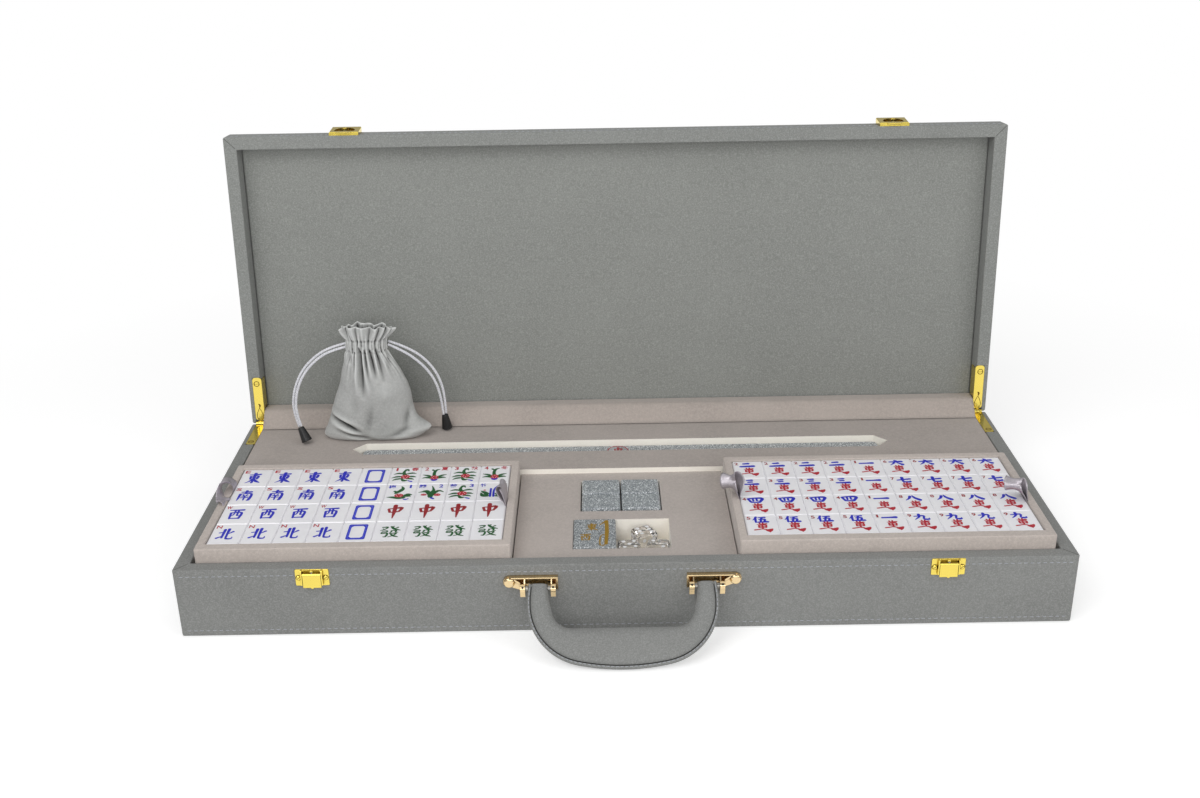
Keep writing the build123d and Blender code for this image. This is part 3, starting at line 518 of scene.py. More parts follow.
# ---------------------------------------------------------------- drawstring cords
CORDS = {
    "left_front": (0.1055, [
        (-262, 110, 158), (-277.5, 109.6, 154.2), (-291.3, 108.6, 145.8), (-303.3, 107, 133.6),
        (-311, 104.6, 118.6), (-314.2, 102, 103.2), (-313, 99.6, 90), (-310.2, 98.3, 80.3),
    ]),
    "left_back": (0.1114, [
        (-262, 112.8, 160.6), (-277.6, 112.2, 157), (-293, 111.2, 148), (-305.8, 109.4, 135),
        (-313.8, 107, 119.2), (-317.3, 104.4, 103.2), (-315.6, 101.6, 89.6), (-312.4, 100, 78.9),
    ]),
    "right_front": (0.0979, [
        (-222, 114.6, 158), (-210.2, 116.2, 151.6), (-197, 117.4, 141.6), (-186.2, 118.4, 129.6),
        (-179, 119.4, 116), (-175, 120.3, 99), (-173.8, 121, 80.1),
    ]),
    "right_back": (0.1035, [
        (-222, 117.6, 160.4), (-207.5, 118.8, 154.4), (-191.4, 119.8, 143.8), (-179.6, 120.6, 129),
        (-173.6, 121.4, 113), (-171.6, 122.2, 97), (-171.6, 123.3, 80.4),
    ]),
}
STRANDS = 3
STRAND_RADIUS = 0.76 * MM
LAY_RADIUS = 0.62 * MM
LAY_PITCH = 8 * MM
POUCH_FLOOR = 63.3 * MM


def spline_points(route):
    """The points that a NURBS line with this route as control points passes through."""
    curve = bpy.data.curves.new("route", "CURVE")
    curve.dimensions = "3D"
    spline = curve.splines.new("NURBS")
    spline.points.add(len(route) - 1)
    for point, (x, y, z) in zip(spline.points, route):
        point.co = (x * MM, y * MM, z * MM, 1.0)
    spline.order_u = 3
    spline.use_endpoint_u = True
    spline.resolution_u = 16
    line = bpy.data.objects.new("route", curve)
    scene.collection.objects.link(line)
    sampled = bpy.data.meshes.new_from_object(line)
    points = [vertex.co.copy() for vertex in sampled.vertices]
    bpy.data.objects.remove(line)
    bpy.data.curves.remove(curve)
    bpy.data.meshes.remove(sampled)
    return points


def twisted(path, strand):
    """One strand of a twisted cord: a helix about the path."""
    line = []
    run = 0.0
    side = (path[1] - path[0]).orthogonal().normalized()
    for i, place in enumerate(path):
        ahead = (path[min(i + 1, len(path) - 1)] - path[max(i - 1, 0)]).normalized()
        side = (side - ahead * side.dot(ahead)).normalized()
        if i:
            run += (place - path[i - 1]).length
        turn = math.tau * (run / LAY_PITCH + strand / STRANDS)
        line.append(place + (side * math.cos(turn) + ahead.cross(side) * math.sin(turn)) * LAY_RADIUS)
    return tube(line, STRAND_RADIUS, 7)


for name, (length, route) in CORDS.items():
    path = spline_points(route)
    verts, faces = gather([twisted(path, strand) for strand in range(STRANDS)])
    strands = piece(f"drawstring_{name}", verts, faces, "pouch", cord_satin, "cord_satin")
    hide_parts(f"cord_{name}")
    bell = "bell_" + name.split("_")[0]
    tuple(path[0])
    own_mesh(strands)


# ---------------------------------------------------------------- drawstring pouch
POUCH_Y = 112.0
POUCH_AROUND = 264
POUCH_FABRIC = 1.3
CHANNEL_LOW, CHANNEL_MIDDLE, CHANNEL_TOP = 90.5, 96.5, 102.0
RUFFLE_START, POUCH_TOP, CREST_RISE = 103.0, 115.4, 0.45
COARSE_STEP, FINE_STEP, FINE_FROM = 1.35, 1.0, 84
INNER_LEVELS = (115.0, 113.5, 111.0, 108.0, 105.0, 102.0, 99.5)
# height above the floor, centre x, half width, front reach, back reach
POUCH_FORM = [
    (0.0, -241.5, 42.0, 12.0, 8.0), (1.2, -241.5, 45.5, 15.2, 10.5), (4.0, -241.6, 47.6, 17.6, 13.0),
    (9.0, -241.6, 47.4, 19.0, 14.5), (16.0, -241.4, 44.6, 19.2, 15.5), (24.0, -241.0, 41.8, 18.6, 15.6),
    (34.0, -240.4, 39.0, 17.6, 15.2), (46.0, -239.4, 36.2, 16.2, 14.4), (58.0, -238.4, 32.2, 14.6, 13.0),
    (70.0, -239.6, 28.0, 13.0, 11.6), (80.0, -241.0, 23.8, 11.6, 10.4), (86.0, -242.0, 20.8, 10.6, 9.6),
    (90.5, -242.4, 18.8, 9.8, 9.0), (93.0, -242.4, 18.4, 9.6, 8.8), (97.0, -242.4, 18.1, 9.6, 8.8),
    (100.5, -242.2, 18.3, 9.4, 8.4), (104.0, -242.0, 20.0, 9.2, 8.0), (108.0, -241.6, 22.4, 8.8, 7.2),
    (112.0, -241.2, 24.4, 8.2, 6.2), (115.4, -241.0, 25.2, 7.6, 5.4),
]
# folds pressed into the front: x at the top, x at the bottom, top, bottom, depth, half width
CREASES = [
    (-247.8, -247.0, 93, 45, 8.4, 1.9), (-237.6, -232.6, 92, 63, 4.8, 1.7),
    (-231.4, -225.6, 92, 60, 4.4, 1.7), (-223.4, -216.6, 91, 75, 3.8, 1.6),
    (-243.0, -240.6, 92, 57, 3.4, 1.5), (-257.6, -259.6, 92, 79, 3.6, 1.7),
    (-252.8, -253.8, 91, 70, 2.4, 1.5),
]
# soft dents and swells: x, height, depth (inward), half width, half height, lean
DENTS = [
    (-266.0, 17.5, 6.4, 13.0, 3.4, -0.5), (-254.0, 6.0, 4.6, 14.0, 2.8, -0.3),
    (-268.0, 24.5, -3.0, 12.0, 4.2, -0.4), (-262.0, 11.4, -3.6, 12.0, 3.2, -0.42),
    (-205.0, 22.0, 4.6, 5.0, 9.0, 0.9), (-214.0, 9.0, 3.0, 10.0, 4.0, 0.35),
    (-225.0, 50.0, -2.4, 8.0, 9.0, 0.1), (-256.0, 36.0, 2.2, 7.0, 11.0, 0.1),
    (-243.0, 22.0, 3.2, 6.0, 12.0, 0.9), (-262.0, 62.0, -1.6, 7.0, 9.0, 0.0),
]
# how square the section is, how deep the gathers and the ruffles are and how loose the cloth is,
# each as (height, value)
SQUARENESS = [(0, 0.78), (14, 0.85), (40, 0.96), (80, 1.0)]
GATHERS = [(40, 0), (62, 0.1), (80, 0.5), (89, 1.5), (92, 1.7), (96, 1.1), (101, 1.7), (105, 1.1), (116, 0.7)]
RUFFLES = [(98, 0.0), (RUFFLE_START, 0.9), (109, 2.1), (116, 2.9)]
LOOSENESS = [(0, 0.3), (10, 1.0), (80, 0.8), (90, 0.2)]


def gaussian(x, width):
    """A bell curve, 1 at zero."""
    return math.exp(-((x / width) ** 2))


def crease_push(x, level, face):
    """How far the folds pressed into the front move the cloth: in along the fold, out beside it."""
    push = 0.0
    for top_x, low_x, top, low, depth, width in CREASES:
        t = (top - level) / (top - low)
        if -0.08 < t < 1.0:
            line = top_x + (low_x - top_x) * max(t, 0.0)
            fade = math.sin(math.pi * min(1.0, max(0.0, (t + 0.08) / 1.08)) ** 0.7)
            spread = width * (0.8 + 0.9 * max(t, 0.0))
            push -= face * depth * fade * gaussian(x - line, spread)
            push += face * 0.38 * depth * fade * (
                gaussian(x - line - 2.0 * spread, spread) + gaussian(x - line + 2.0 * spread, spread)
            )
    return push


def dent_push(x, level, face):
    """How far the soft dents and swells of the front move the cloth."""
    push = 0.0
    for dent_x, dent_z, depth, wide, tall, lean in DENTS:
        along, up = x - dent_x, level - dent_z
        push -= face * depth * gaussian(along, wide) * gaussian(up - lean * along, tall)
    return push


def pouch_point(column, level, inward=0.0):
    """A point of the pouch: an oval section with gathers, folds, dents and a ruffled mouth."""
    turn = math.tau * column / POUCH_AROUND
    cx, half, front, back = (value_at([(row[0], row[k]) for row in POUCH_FORM], level) for k in (1, 2, 3, 4))
    cosine, sine = math.cos(turn), math.sin(turn)
    square = value_at(SQUARENESS, level)
    across = half * math.copysign(abs(cosine) ** square, cosine)
    reach = front if sine < 0 else back
    deep = reach * math.copysign(abs(sine) ** square, sine)
    normal = Vector((cosine / half, sine / reach, 0)).normalized()
    # gathers under the cord and the pinched channel
    wave = (
        0.62 * math.sin(20 * turn + 0.9 * math.sin(3 * turn + 0.4))
        + 0.42 * math.sin(33 * turn + 1.3 + 0.05 * level)
    )
    push = value_at(GATHERS, level) * wave
    # the mouth folds into deep ruffles
    ruffle = value_at(RUFFLES, level)
    push += ruffle * (
        0.95 * math.sin(14 * turn + 1.4 * math.sin(2 * turn + 1.1) + 0.9)
        + 0.4 * math.sin(7 * turn + 2.0)
    )
    # the cord runs in a channel between two rows of stitching
    push -= 0.9 * gaussian(level - CHANNEL_LOW, 1.1) + 0.7 * gaussian(level - CHANNEL_TOP, 1.2)
    push += 0.5 * gaussian(level - CHANNEL_MIDDLE, 3.0)
    x = cx + across
    if sine < 0:
        face = min(1.0, -sine * 2.2)
        push += crease_push(x, level, face) + dent_push(x, level, face)
    soft = noise.noise(Vector((x * 0.045, sine * 1.4, level * 0.05)))
    push += 0.9 * soft * value_at(LOOSENESS, level)
    point = Vector((x, POUCH_Y + deep, 0)) + normal * (push - inward)
    rise = level
    if level > RUFFLE_START:
        above = level - RUFFLE_START
        rise += above * 0.05 * math.sin(3 * turn + 2.2) + ruffle * 0.2 * math.sin(7 * turn + 0.9)
        rise -= above * 0.3 * abs(cosine) ** 6
    # the lower right corner stands out as a pointed ear, the lower left one as a round lobe
    ear = gaussian(level - 10.5, 6.0) * max(0.0, cosine) ** 5
    point.x += 9.0 * ear * (1 - 0.5 * abs(sine))
    point.y += -1.5 * ear
    lobe = gaussian(level - 3.6, 5.0) * max(0.0, -cosine) ** 6
    point.x -= 1.8 * lobe
    return Vector((point.x * MM, point.y * MM, POUCH_FLOOR + rise * MM))


levels = [0.0, 0.5, 1.2, 2.2, 3.4]
while levels[-1] < POUCH_TOP - 0.2:
    levels.append(levels[-1] + (FINE_STEP if levels[-1] > FINE_FROM else COARSE_STEP))
levels[-1] = POUCH_TOP
rows = [[pouch_point(c, level) for c in range(POUCH_AROUND)] for level in levels]
inner = [[pouch_point(c, level, POUCH_FABRIC) for c in range(POUCH_AROUND)] for level in INNER_LEVELS]
crest = [(a + b) / 2 + Vector((0, 0, CREST_RISE * MM)) for a, b in zip(rows[-1], inner[0])]
rows += [crest] + inner
verts = [v for row in rows for v in row]
faces = grid_faces(len(rows), POUCH_AROUND)
for row, start in ((rows[0], 0), (rows[-1], (len(rows) - 1) * POUCH_AROUND)):
    verts.append(sum(row, Vector()) / POUCH_AROUND)
    faces += [(start + c, start + (c + 1) % POUCH_AROUND, len(verts) - 1) for c in range(POUCH_AROUND)]
pouch = piece("pouch_cloth", verts, faces, "pouch", pouch_velvet, "pouch_velvet")
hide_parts("pouch_bag")
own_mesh(pouch)


# ---------------------------------------------------------------- satin pulls
BAND, FLAT_BAND = 14.0, 10.0
BAND_THICK = 0.36
BAND_COLUMNS = 9
LAID_FLAT = 0.35
SIDE_SOFT, SIDE_GIVE = 354.6, 0.5  # past this |x| a loop gives way, so that the closed lid clears it
# each loop in millimetres: pairs of points on the band's two edges, one pair after another
LOOPS = {
    "left": (
        "-347.2,-13,70 -347.2,-27,70 / -347,-12,76 -347.3,-27,76 / -349.2,-13,79.6 -348.2,-28.5,80.5 / "
        "-352,-16,82 -350,-31.5,83.8 / -354.4,-21,82.8 -352.6,-34.5,85 / "
        "-355.8,-25,81.2 -354.8,-38.4,84.4 / -355,-27.5,78.8 -356,-42.4,82.2 / "
        "-353.6,-30.2,77.4 -355.9,-45.8,79.8 / -352.4,-33,76.9 -354.8,-48.8,78 / "
        "-351.4,-35.8,76.7 -353.2,-51.2,77.2 / -351,-38,76.5 -351.2,-53.4,76.8 / "
        "-348.8,-40.4,75.9 -348.6,-55.4,75.9 / -347.8,-42,70 -347.7,-57,70",
        "-101.5,-61,70 -101.3,-47,70 / -102.3,-60.5,75.5 -101.2,-46.5,76 / "
        "-104.2,-60,81.9 -101.1,-46,82 / -106.4,-60,87.4 -101.2,-45.5,87.5 / "
        "-108.6,-60,90.4 -102.4,-45.5,91 / -110.2,-60,90.4 -104.4,-46,90.8 / "
        "-110.4,-60,88.2 -105.4,-46.5,88.2 / -108.7,-60.2,84 -104.7,-47,83.4 / "
        "-106.3,-60.4,79.8 -103.5,-47,78.6 / -103.3,-60.8,75.6 -102.2,-47,75.6 / "
        "-101.9,-61,70 -101.7,-47,70",
    ),
    "right": (
        "101,-58,70 101,-44,70 / 100.4,-57.5,75.6 100.3,-44,76.2 / 97.3,-56.4,83 93,-50,82.6 / "
        "96,-54.8,88.2 87.4,-53,85.8 / 96.3,-52.8,93.2 85.4,-52.6,89 / 98,-51.5,96.6 86.2,-50.6,91.6 / "
        "100,-51.2,97.5 89,-48,92.4 / 102.8,-51.8,95.9 92.4,-46,91.4 / 104.8,-53.2,91.4 95.4,-44.8,88 / "
        "103.8,-55,85.4 97.8,-44,83.2 / 101.9,-56.8,79 100,-44,79 / 101.3,-57.6,75 101.2,-44,75 / "
        "101.3,-58,70 101.3,-44,70",
        "347.2,-71,70 347.2,-57,70 / 346.4,-70.8,75.6 346.2,-57.6,76.4 / "
        "343.6,-71.6,81.2 338.6,-60.5,82.6 / 341.2,-71.8,86.4 328.6,-67,86.6 / "
        "340.2,-70.8,91 325.2,-69.5,90 / 341,-68.6,94 325.8,-67.5,93.4 / "
        "343.2,-66,94.6 328.6,-64.5,94.6 / 345.4,-64.2,91.4 332.4,-61,91.8 / 346.9,-64,86 337,-58,87 / "
        "347.5,-66,80.6 343,-56.5,81.4 / 347.6,-69,75.6 347,-56.5,76 / 347.6,-70,70 347.6,-56,70",
    ),
}


def edged(pairs):
    """The middle line of a band and the way its width runs, from its two edges."""
    return [((Vector(a) + Vector(b)) / 2, Vector(b) - Vector(a)) for a, b in pairs]


def ribbon(points, seed, half=BAND / 2):
    """A band of satin along a line of (place, width direction) points, slightly cupped."""
    line = smooth_line([(*place, *way) for place, way in points], 7)
    rng = random.Random(seed)
    phase = rng.uniform(0, math.tau)
    verts = []
    run = 0.0
    for i, row in enumerate(line):
        place, way = Vector(row[:3]), Vector(row[3:]).normalized()
        before, after = neighbours(line, i)
        ahead = (Vector(after[:3]) - Vector(before[:3])).normalized()
        way = (way - ahead * way.dot(ahead)).normalized()
        normal = ahead.cross(way)
        if i:
            run += (place - Vector(line[i - 1][:3])).length
        for side in (1, -1):
            for k in range(BAND_COLUMNS):
                u = (k / (BAND_COLUMNS - 1) * 2 - 1) * side
                cup = 0.3 * (u * u - 0.4) + 0.14 * math.sin(0.45 * run + 2.2 * u + phase)
                spot = place + way * (half * u) + normal * (cup + side * BAND_THICK / 2)
                spot.x -= math.copysign(max(0.0, abs(spot.x) - SIDE_SOFT) * SIDE_GIVE, spot.x)
                verts.append(spot * MM)
    return verts, capped_faces(len(line), 2 * BAND_COLUMNS), run


def satin_pulls(side, level, parts):
    """One piece from the (verts, faces, length) parts of a tray's pulls."""
    tray = f"tray_{side}_{level}"
    verts, faces = gather([(v, f) for v, f, _ in parts])
    band = piece(f"ribbons_{side}_{level}", verts, faces, tray, satin, "satin")
    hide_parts(f"pulls_{side}_{level}")
    return band


for side, loops in LOOPS.items():
    parts = [ribbon(edged(strokes(text)), 11 * i + len(side)) for i, text in enumerate(loops)]
    band = satin_pulls(side, "upper", parts)
    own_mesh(band)

    # the lower tray's pulls lie flat under the upper tray
    (x0, y0, z0), (x1, y1, z1) = ([c / MM for c in corner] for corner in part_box(f"pulls_{side}_lower"))
    z = (z0 + z1) / 2
    parts = []
    for i, x in enumerate((x0 + FLAT_BAND / 2, x1 - FLAT_BAND / 2)):
        route = [((x, y0 + (y1 - y0) * t / 6, z), (1, 0, 0)) for t in range(7)]
        verts, faces, run = ribbon(route, 40 + i, FLAT_BAND / 2)
        flattened = [Vector((v.x, v.y, z * MM + (v.z - z * MM) * LAID_FLAT)) for v in verts]
        parts.append((flattened, faces, run))
    satin_pulls(side, "lower", parts)


# ---------------------------------------------------------------- velvet strip over the hinge line
STRIP_HALF = 356.6
STRIP_LINE = [
    (127.75, 63.45), (129.2, 63.7), (130.7, 64.0), (132.2, 65.2), (134.8, 67.6), (138.6, 71.0),
    (142.2, 74.2), (145.4, 76.4), (148.4, 76.9), (152.4, 76.6), (156.6, 76.2), (160.4, 75.9),
]
STRIP_THICK = 1.0
STRIP_COLUMNS = 240
line = smooth_line(STRIP_LINE, 5)
profile = []
for side in (1, -1):
    ordered = line[::side]
    for i, (y, z) in enumerate(ordered):
        (y0, z0), (y1, z1) = neighbours(ordered, i)
        size = math.hypot(y1 - y0, z1 - z0)
        profile.append((y, z, -(z1 - z0) / size * side, (y1 - y0) / size * side, side))
verts = []
for column in range(STRIP_COLUMNS + 1):
    x = STRIP_HALF * (2 * column / STRIP_COLUMNS - 1)
    for y, z, ny, nz, side in profile:
        swell = 0.25 * noise.noise(Vector((x * 0.02, y * 0.15, 3.0)))
        reach = side * (STRIP_THICK / 2 * side + swell)
        verts.append(Vector((x, y + ny * reach, z + nz * reach)) * MM)
faces = capped_faces(STRIP_COLUMNS + 1, len(profile))
strip = piece("hinge_cover_velvet", verts, faces, None, strip_velvet, "velvet")
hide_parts("hinge_cover_strip")
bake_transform(strip)
length = sum(math.dist(a, b) for a, b in zip(line, line[1:]))


# ---------------------------------------------------------------- carrying handle
HANDLE_X, PIVOT_Y, PIVOT_Z = -3.0, -150.5, 45.5
HANDLE_DROP, SHOULDER, GRIP_RADIUS = 68.0, 14.0, 180.0
LEG_OFFSET, LEG_WIDTH, LEG_END_WIDTH, LEG_END = 68.8, 17.4, 15.6, 9.0
INNER_DROP, INNER_RADIUS, INNER_TAPER = 34.2, 16.0, 5.5  # the padding comes 2.6 mm further in than the core
CORE_HALF, PAD_RISE = 2.5, 3.4
ALONG, LEG_TOP = 150, -2.9
SECTION, WELT = 26, 2.6
END_SOFT = 14.0
droop = math.atan2(CORE_HALF, HANDLE_DROP) + math.acos(PIVOT_Z / math.hypot(HANDLE_DROP, CORE_HALF))
DOWN = Vector((0, -math.sin(droop), -math.cos(droop)))
FACE = Vector((0, -math.cos(droop), math.sin(droop)))


def on_handle(across, down, out):
    """A point of the hanging handle from its own plane in millimetres."""
    return (Vector((HANDLE_X + across, PIVOT_Y, PIVOT_Z)) + DOWN * down + FACE * out) * MM


def arc(centre, radius, start, sweep, steps):
    """Points on a circle's arc, in its plane."""
    return [
        (centre[0] + radius * math.cos(start + sweep * i / steps),
         centre[1] + radius * math.sin(start + sweep * i / steps))
        for i in range(steps + 1)
    ]


def resample(points, count):
    """Points at equal distances along a line."""
    runs = [0.0]
    for a, b in zip(points, points[1:]):
        runs.append(runs[-1] + math.dist(a, b))
    out = []
    at = 0
    for i in range(count):
        want = runs[-1] * i / (count - 1)
        while at < len(points) - 2 and runs[at + 1] < want:
            at += 1
        t = (want - runs[at]) / max(runs[at + 1] - runs[at], 1e-9)
        out.append(tuple(a + (b - a) * t for a, b in zip(points[at], points[at + 1])))
    return out


def outer_edge(start, inset=0.0):
    """The right half of the outer edge, from the leg's end to the middle of the grip."""
    outer = LEG_OFFSET + LEG_WIDTH / 2 - inset
    rise = HANDLE_DROP - SHOULDER - inset
    grip = GRIP_RADIUS - inset
    side = (outer**2 + rise**2 - 2 * grip * rise) / (2 * (outer - grip))
    turn = math.atan2(grip - rise, outer - side)
    legs = [(LEG_OFFSET + LEG_END_WIDTH / 2 - inset, start), (outer, LEG_END), (outer, SHOULDER)]
    return (
        legs + arc((outer - side, SHOULDER), side, 0, turn, 24)
        + arc((0, SHOULDER + rise - grip), grip, turn, math.pi / 2 - turn, 20)
    )


def inner_edge(start):
    """The right half of the inner edge."""
    inner = LEG_OFFSET - LEG_WIDTH / 2
    low = (inner - INNER_TAPER, INNER_DROP)
    lean = math.atan2(low[0] - inner, low[1] - LEG_END)
    reach = INNER_RADIUS / math.tan((math.pi / 2 + abs(lean)) / 2)
    begin = (low[0] - math.sin(lean) * reach, low[1] - math.cos(lean) * reach)
    centre = (low[0] - reach, low[1] - INNER_RADIUS)
    first = math.atan2(begin[1] - centre[1], begin[0] - centre[0])
    return (
        [(LEG_OFFSET - LEG_END_WIDTH / 2, start), (inner, LEG_END), begin]
        + arc(centre, INNER_RADIUS, first, math.pi / 2 - first, 16)
        + [(0, INNER_DROP)]
    )


def mirrored(half):
    """A whole arch from its right half, from the left leg round to the right one."""
    return [(-x, y) for x, y in half[:-1]] + half[::-1]


outer_line = mirrored(resample(outer_edge(LEG_TOP), ALONG))
inner_line = mirrored(resample(inner_edge(LEG_TOP), ALONG))


def handle_section(outer_point, inner_point, end_fade):
    """A closed ring round the leather: padded face, groove, flat welt, and the same behind."""
    width = math.dist(outer_point, inner_point)
    toward = ((inner_point[0] - outer_point[0]) / width, (inner_point[1] - outer_point[1]) / width)
    ring = []
    for side in (1, -1):
        half = [
            (0.0, 0.55 * CORE_HALF), (0.35, 0.9 * CORE_HALF), (0.9, CORE_HALF), (WELT - 0.8, CORE_HALF),
            (WELT - 0.25, CORE_HALF - 0.9), (WELT, CORE_HALF - 1.1), (WELT + 0.3, CORE_HALF - 0.5),
        ]
        span = width - WELT - 0.3
        for k in range(1, SECTION + 1):
            u = k / SECTION
            bulge = (1 - abs(2 * u - 1) ** 3.2) ** 0.62 if 0 < u < 1 else 0.0
            rise = (CORE_HALF - 0.5) * (1 - u**6) + PAD_RISE * end_fade * bulge + 0.5 * u * (1 - u)
            half.append((WELT + 0.3 + span * u, max(rise, 0.9) if u < 1 else 0.9))
        rows = [(outer_point[0] + toward[0] * s, outer_point[1] + toward[1] * s, side * t) for s, t in half]
        ring += rows if side > 0 else rows[::-1]
    return ring


verts = []
LINE_LENGTH = 250.0
for i, (a, b) in enumerate(zip(outer_line, inner_line)):
    distance = min(i, len(outer_line) - 1 - i) / (len(outer_line) - 1) * LINE_LENGTH
    verts += [on_handle(*spot) for spot in handle_section(a, b, min(1.0, 0.25 + distance / END_SOFT) ** 0.6)]
faces = capped_faces(len(outer_line), len(verts) // len(outer_line))
grip = piece("handle_leather", verts, faces, "handle", grip_leather, "grip_leather")
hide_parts("handle_core", "handle_pads")


# ---------------------------------------------------------------- tile faces
# Brush strokes on a 100 x 100 square: x, y, half width.
BRUSH = {
    "east": (
        "18,84,3 50,86,4 82,88,6 / 50,99,7 50,60,6 49,8,4 40,14,1.5 / 28,70,5 31,42,4 / 28,70,3 72,72,5 "
        "69,44,5 / 31,57,3 70,58,3 / 31,44,3 69,45,3 / 47,42,6 32,22,4 8,6,1 / 53,42,3 70,22,7 96,8,1.5"
    ),
    "south": (
        "22,86,3 80,88,6 / 50,99,6 49,72,4 / 20,68,6 17,30,4 14,8,1.5 / 20,68,3 82,71,5 80,16,6 70,12,2 "
        "/ 38,62,2 43,54,4 / 63,63,3 56,54,2 / 33,48,3 68,50,3 / 30,34,3 71,36,3 / 50,50,4 50,12,3"
    ),
    "west": (
        "12,88,3 88,91,6 / 22,66,5 25,14,4 / 22,66,3 80,68,5 76,16,5 / 42,88,4 40,52,3 30,38,1.5 / "
        "60,89,4 60,48,4 62,42,3 72,42,2 / 25,17,3 76,19,4"
    ),
    "north": (
        "38,90,6 37,20,4 / 12,62,3 37,66,3 / 8,18,5 38,36,2 / 88,72,5 62,52,1.5 / 60,94,6 60,24,4 "
        "66,14,5 90,14,4 94,28,1.5"
    ),
    "centre": (
        "14,72,5 24,46,5 / 14,73,3 50,76,4 90,80,7 76,50,4 / 22,46,3 50,47,4 78,52,4 / 50,100,8 50,50,7 "
        "47,0,2"
    ),
    "prosper": (
        "14,88,3 38,90,4 30,74,3 8,60,1.5 / 18,76,2 26,70,4 / 66,97,3 56,88,1.5 / 86,88,4 74,78,1.5 / "
        "54,95,4 70,74,6 98,62,2 / 16,56,2 40,58,3 38,46,3 / 18,46,3 38,47,3 / 18,46,3 16,34,3 42,36,4 "
        "38,8,4 26,6,2 / 60,58,4 58,46,3 50,38,1.5 / 60,58,2 80,60,4 79,46,3 90,44,2 / 52,34,2 82,36,4 "
        "70,16,3 48,4,1.5 / 58,30,3 72,14,5 94,4,2"
    ),
    "myriad": (
        "20,84,2 72,88,5 / 34,98,4 38,84,3 / 52,100,4 50,84,3 / 28,74,4 28,50,4 / 28,74,3 66,76,4 "
        "66,50,4 / 28,62,3 66,63,3 / 28,50,3 66,51,3 / 47,76,4 47,36,4 / 0,26,4 20,30,4 44,36,3 / "
        "44,36,4 62,30,4 76,20,3 / 64,22,5 82,20,12 98,34,4 / 82,4,4 82,20,8"
    ),
    "one": "4,46,5 50,52,5 96,58,8",
    "two": "24,76,5 62,82,7 / 2,22,6 50,26,7 96,30,8",
    "three": "22,86,4 60,92,6 / 30,54,5 58,58,5 / 4,16,5 50,16,6 94,18,8",
    "four": (
        "2,84,5 20,20,5 / 2,84,4 50,92,5 98,84,7 76,18,5 / 34,86,4 36,44,4 30,36,2 / 60,88,4 60,46,4 "
        "72,42,2 / 20,18,4 76,18,5"
    ),
    "five": (
        "26,96,5 18,70,4 2,44,1.5 / 20,68,5 20,4,4 / 40,84,3 84,88,5 / 62,85,5 50,10,4 / 42,52,3 80,55,5 "
        "74,10,4 / 32,8,4 99,12,6"
    ),
    "six": "44,98,4 54,84,7 / 6,66,4 94,72,7 / 40,58,5 30,34,4 6,6,1.5 / 58,54,3 74,34,5 94,12,8",
    "seven": "4,46,4 94,66,6 / 42,96,7 42,26,5 52,12,6 88,12,6 90,30,2",
    "eight": "38,80,6 28,44,5 2,10,1.5 / 54,90,3 66,50,6 98,10,8",
    "nine": "4,62,3 66,70,5 62,24,4 74,10,6 94,12,5 98,30,2 / 38,98,6 36,54,5 4,6,1.5",
}
NIB, FINE_NIB, BROAD_NIB = 0.225, 0.2, 0.24
# how far marks stand out of a face and reach into it, and how far a later mark lies over an earlier one
FACE_RISE, FACE_SINK = 0.04, 0.1
STROKE_STEP, BLOOM_LEVEL, PETAL_LEVEL, BLUE_LEVEL = 0.002, 0.022, 0.026, 0.03
LEAF_FULL = 1.35
# boxes on a tile's face in millimetres: centre x, y, width, height
LETTER_BOX, WIND_BOX = (-9.0, 12.2, 4.6, 5.0), (-1.2, -0.4, 15.2, 20.5)
DIGIT_BOX, MYRIAD_BOX = (-10.3, 12.0, 3.3, 4.8), (0.4, -4.4, 15.4, 16.4)
NUMBER_BOX, ONE_BOX = (-0.8, 9.2, 13.0, 10.2), (-0.8, 9.2, 13.0, 4.0)
RED_DRAGON_BOX, GREEN_DRAGON_BOX = (-0.6, 0, 14.6, 23), (0, -0.6, 18.4, 19.5)
FLOWER_LEFT, FLOWER_RIGHT = (-8.4, 12.6), (8.0, 12.6)
FLOWER_DIGIT, FLOWER_WORD = (3.6, 6.0), (6.4, 6.4)


def flat_form(outline, level=0.0):
    """A thin closed prism on a tile's face from an outline in millimetres."""
    count = len(outline)
    verts = [(x, y, FACE_RISE + level) for x, y in outline] + [(x, y, -FACE_SINK) for x, y in outline]
    faces = [tuple(range(count)), tuple(range(2 * count - 1, count - 1, -1))]
    faces += [(i, i + count, (i + 1) % count + count, (i + 1) % count) for i in range(count)]
    return verts, faces


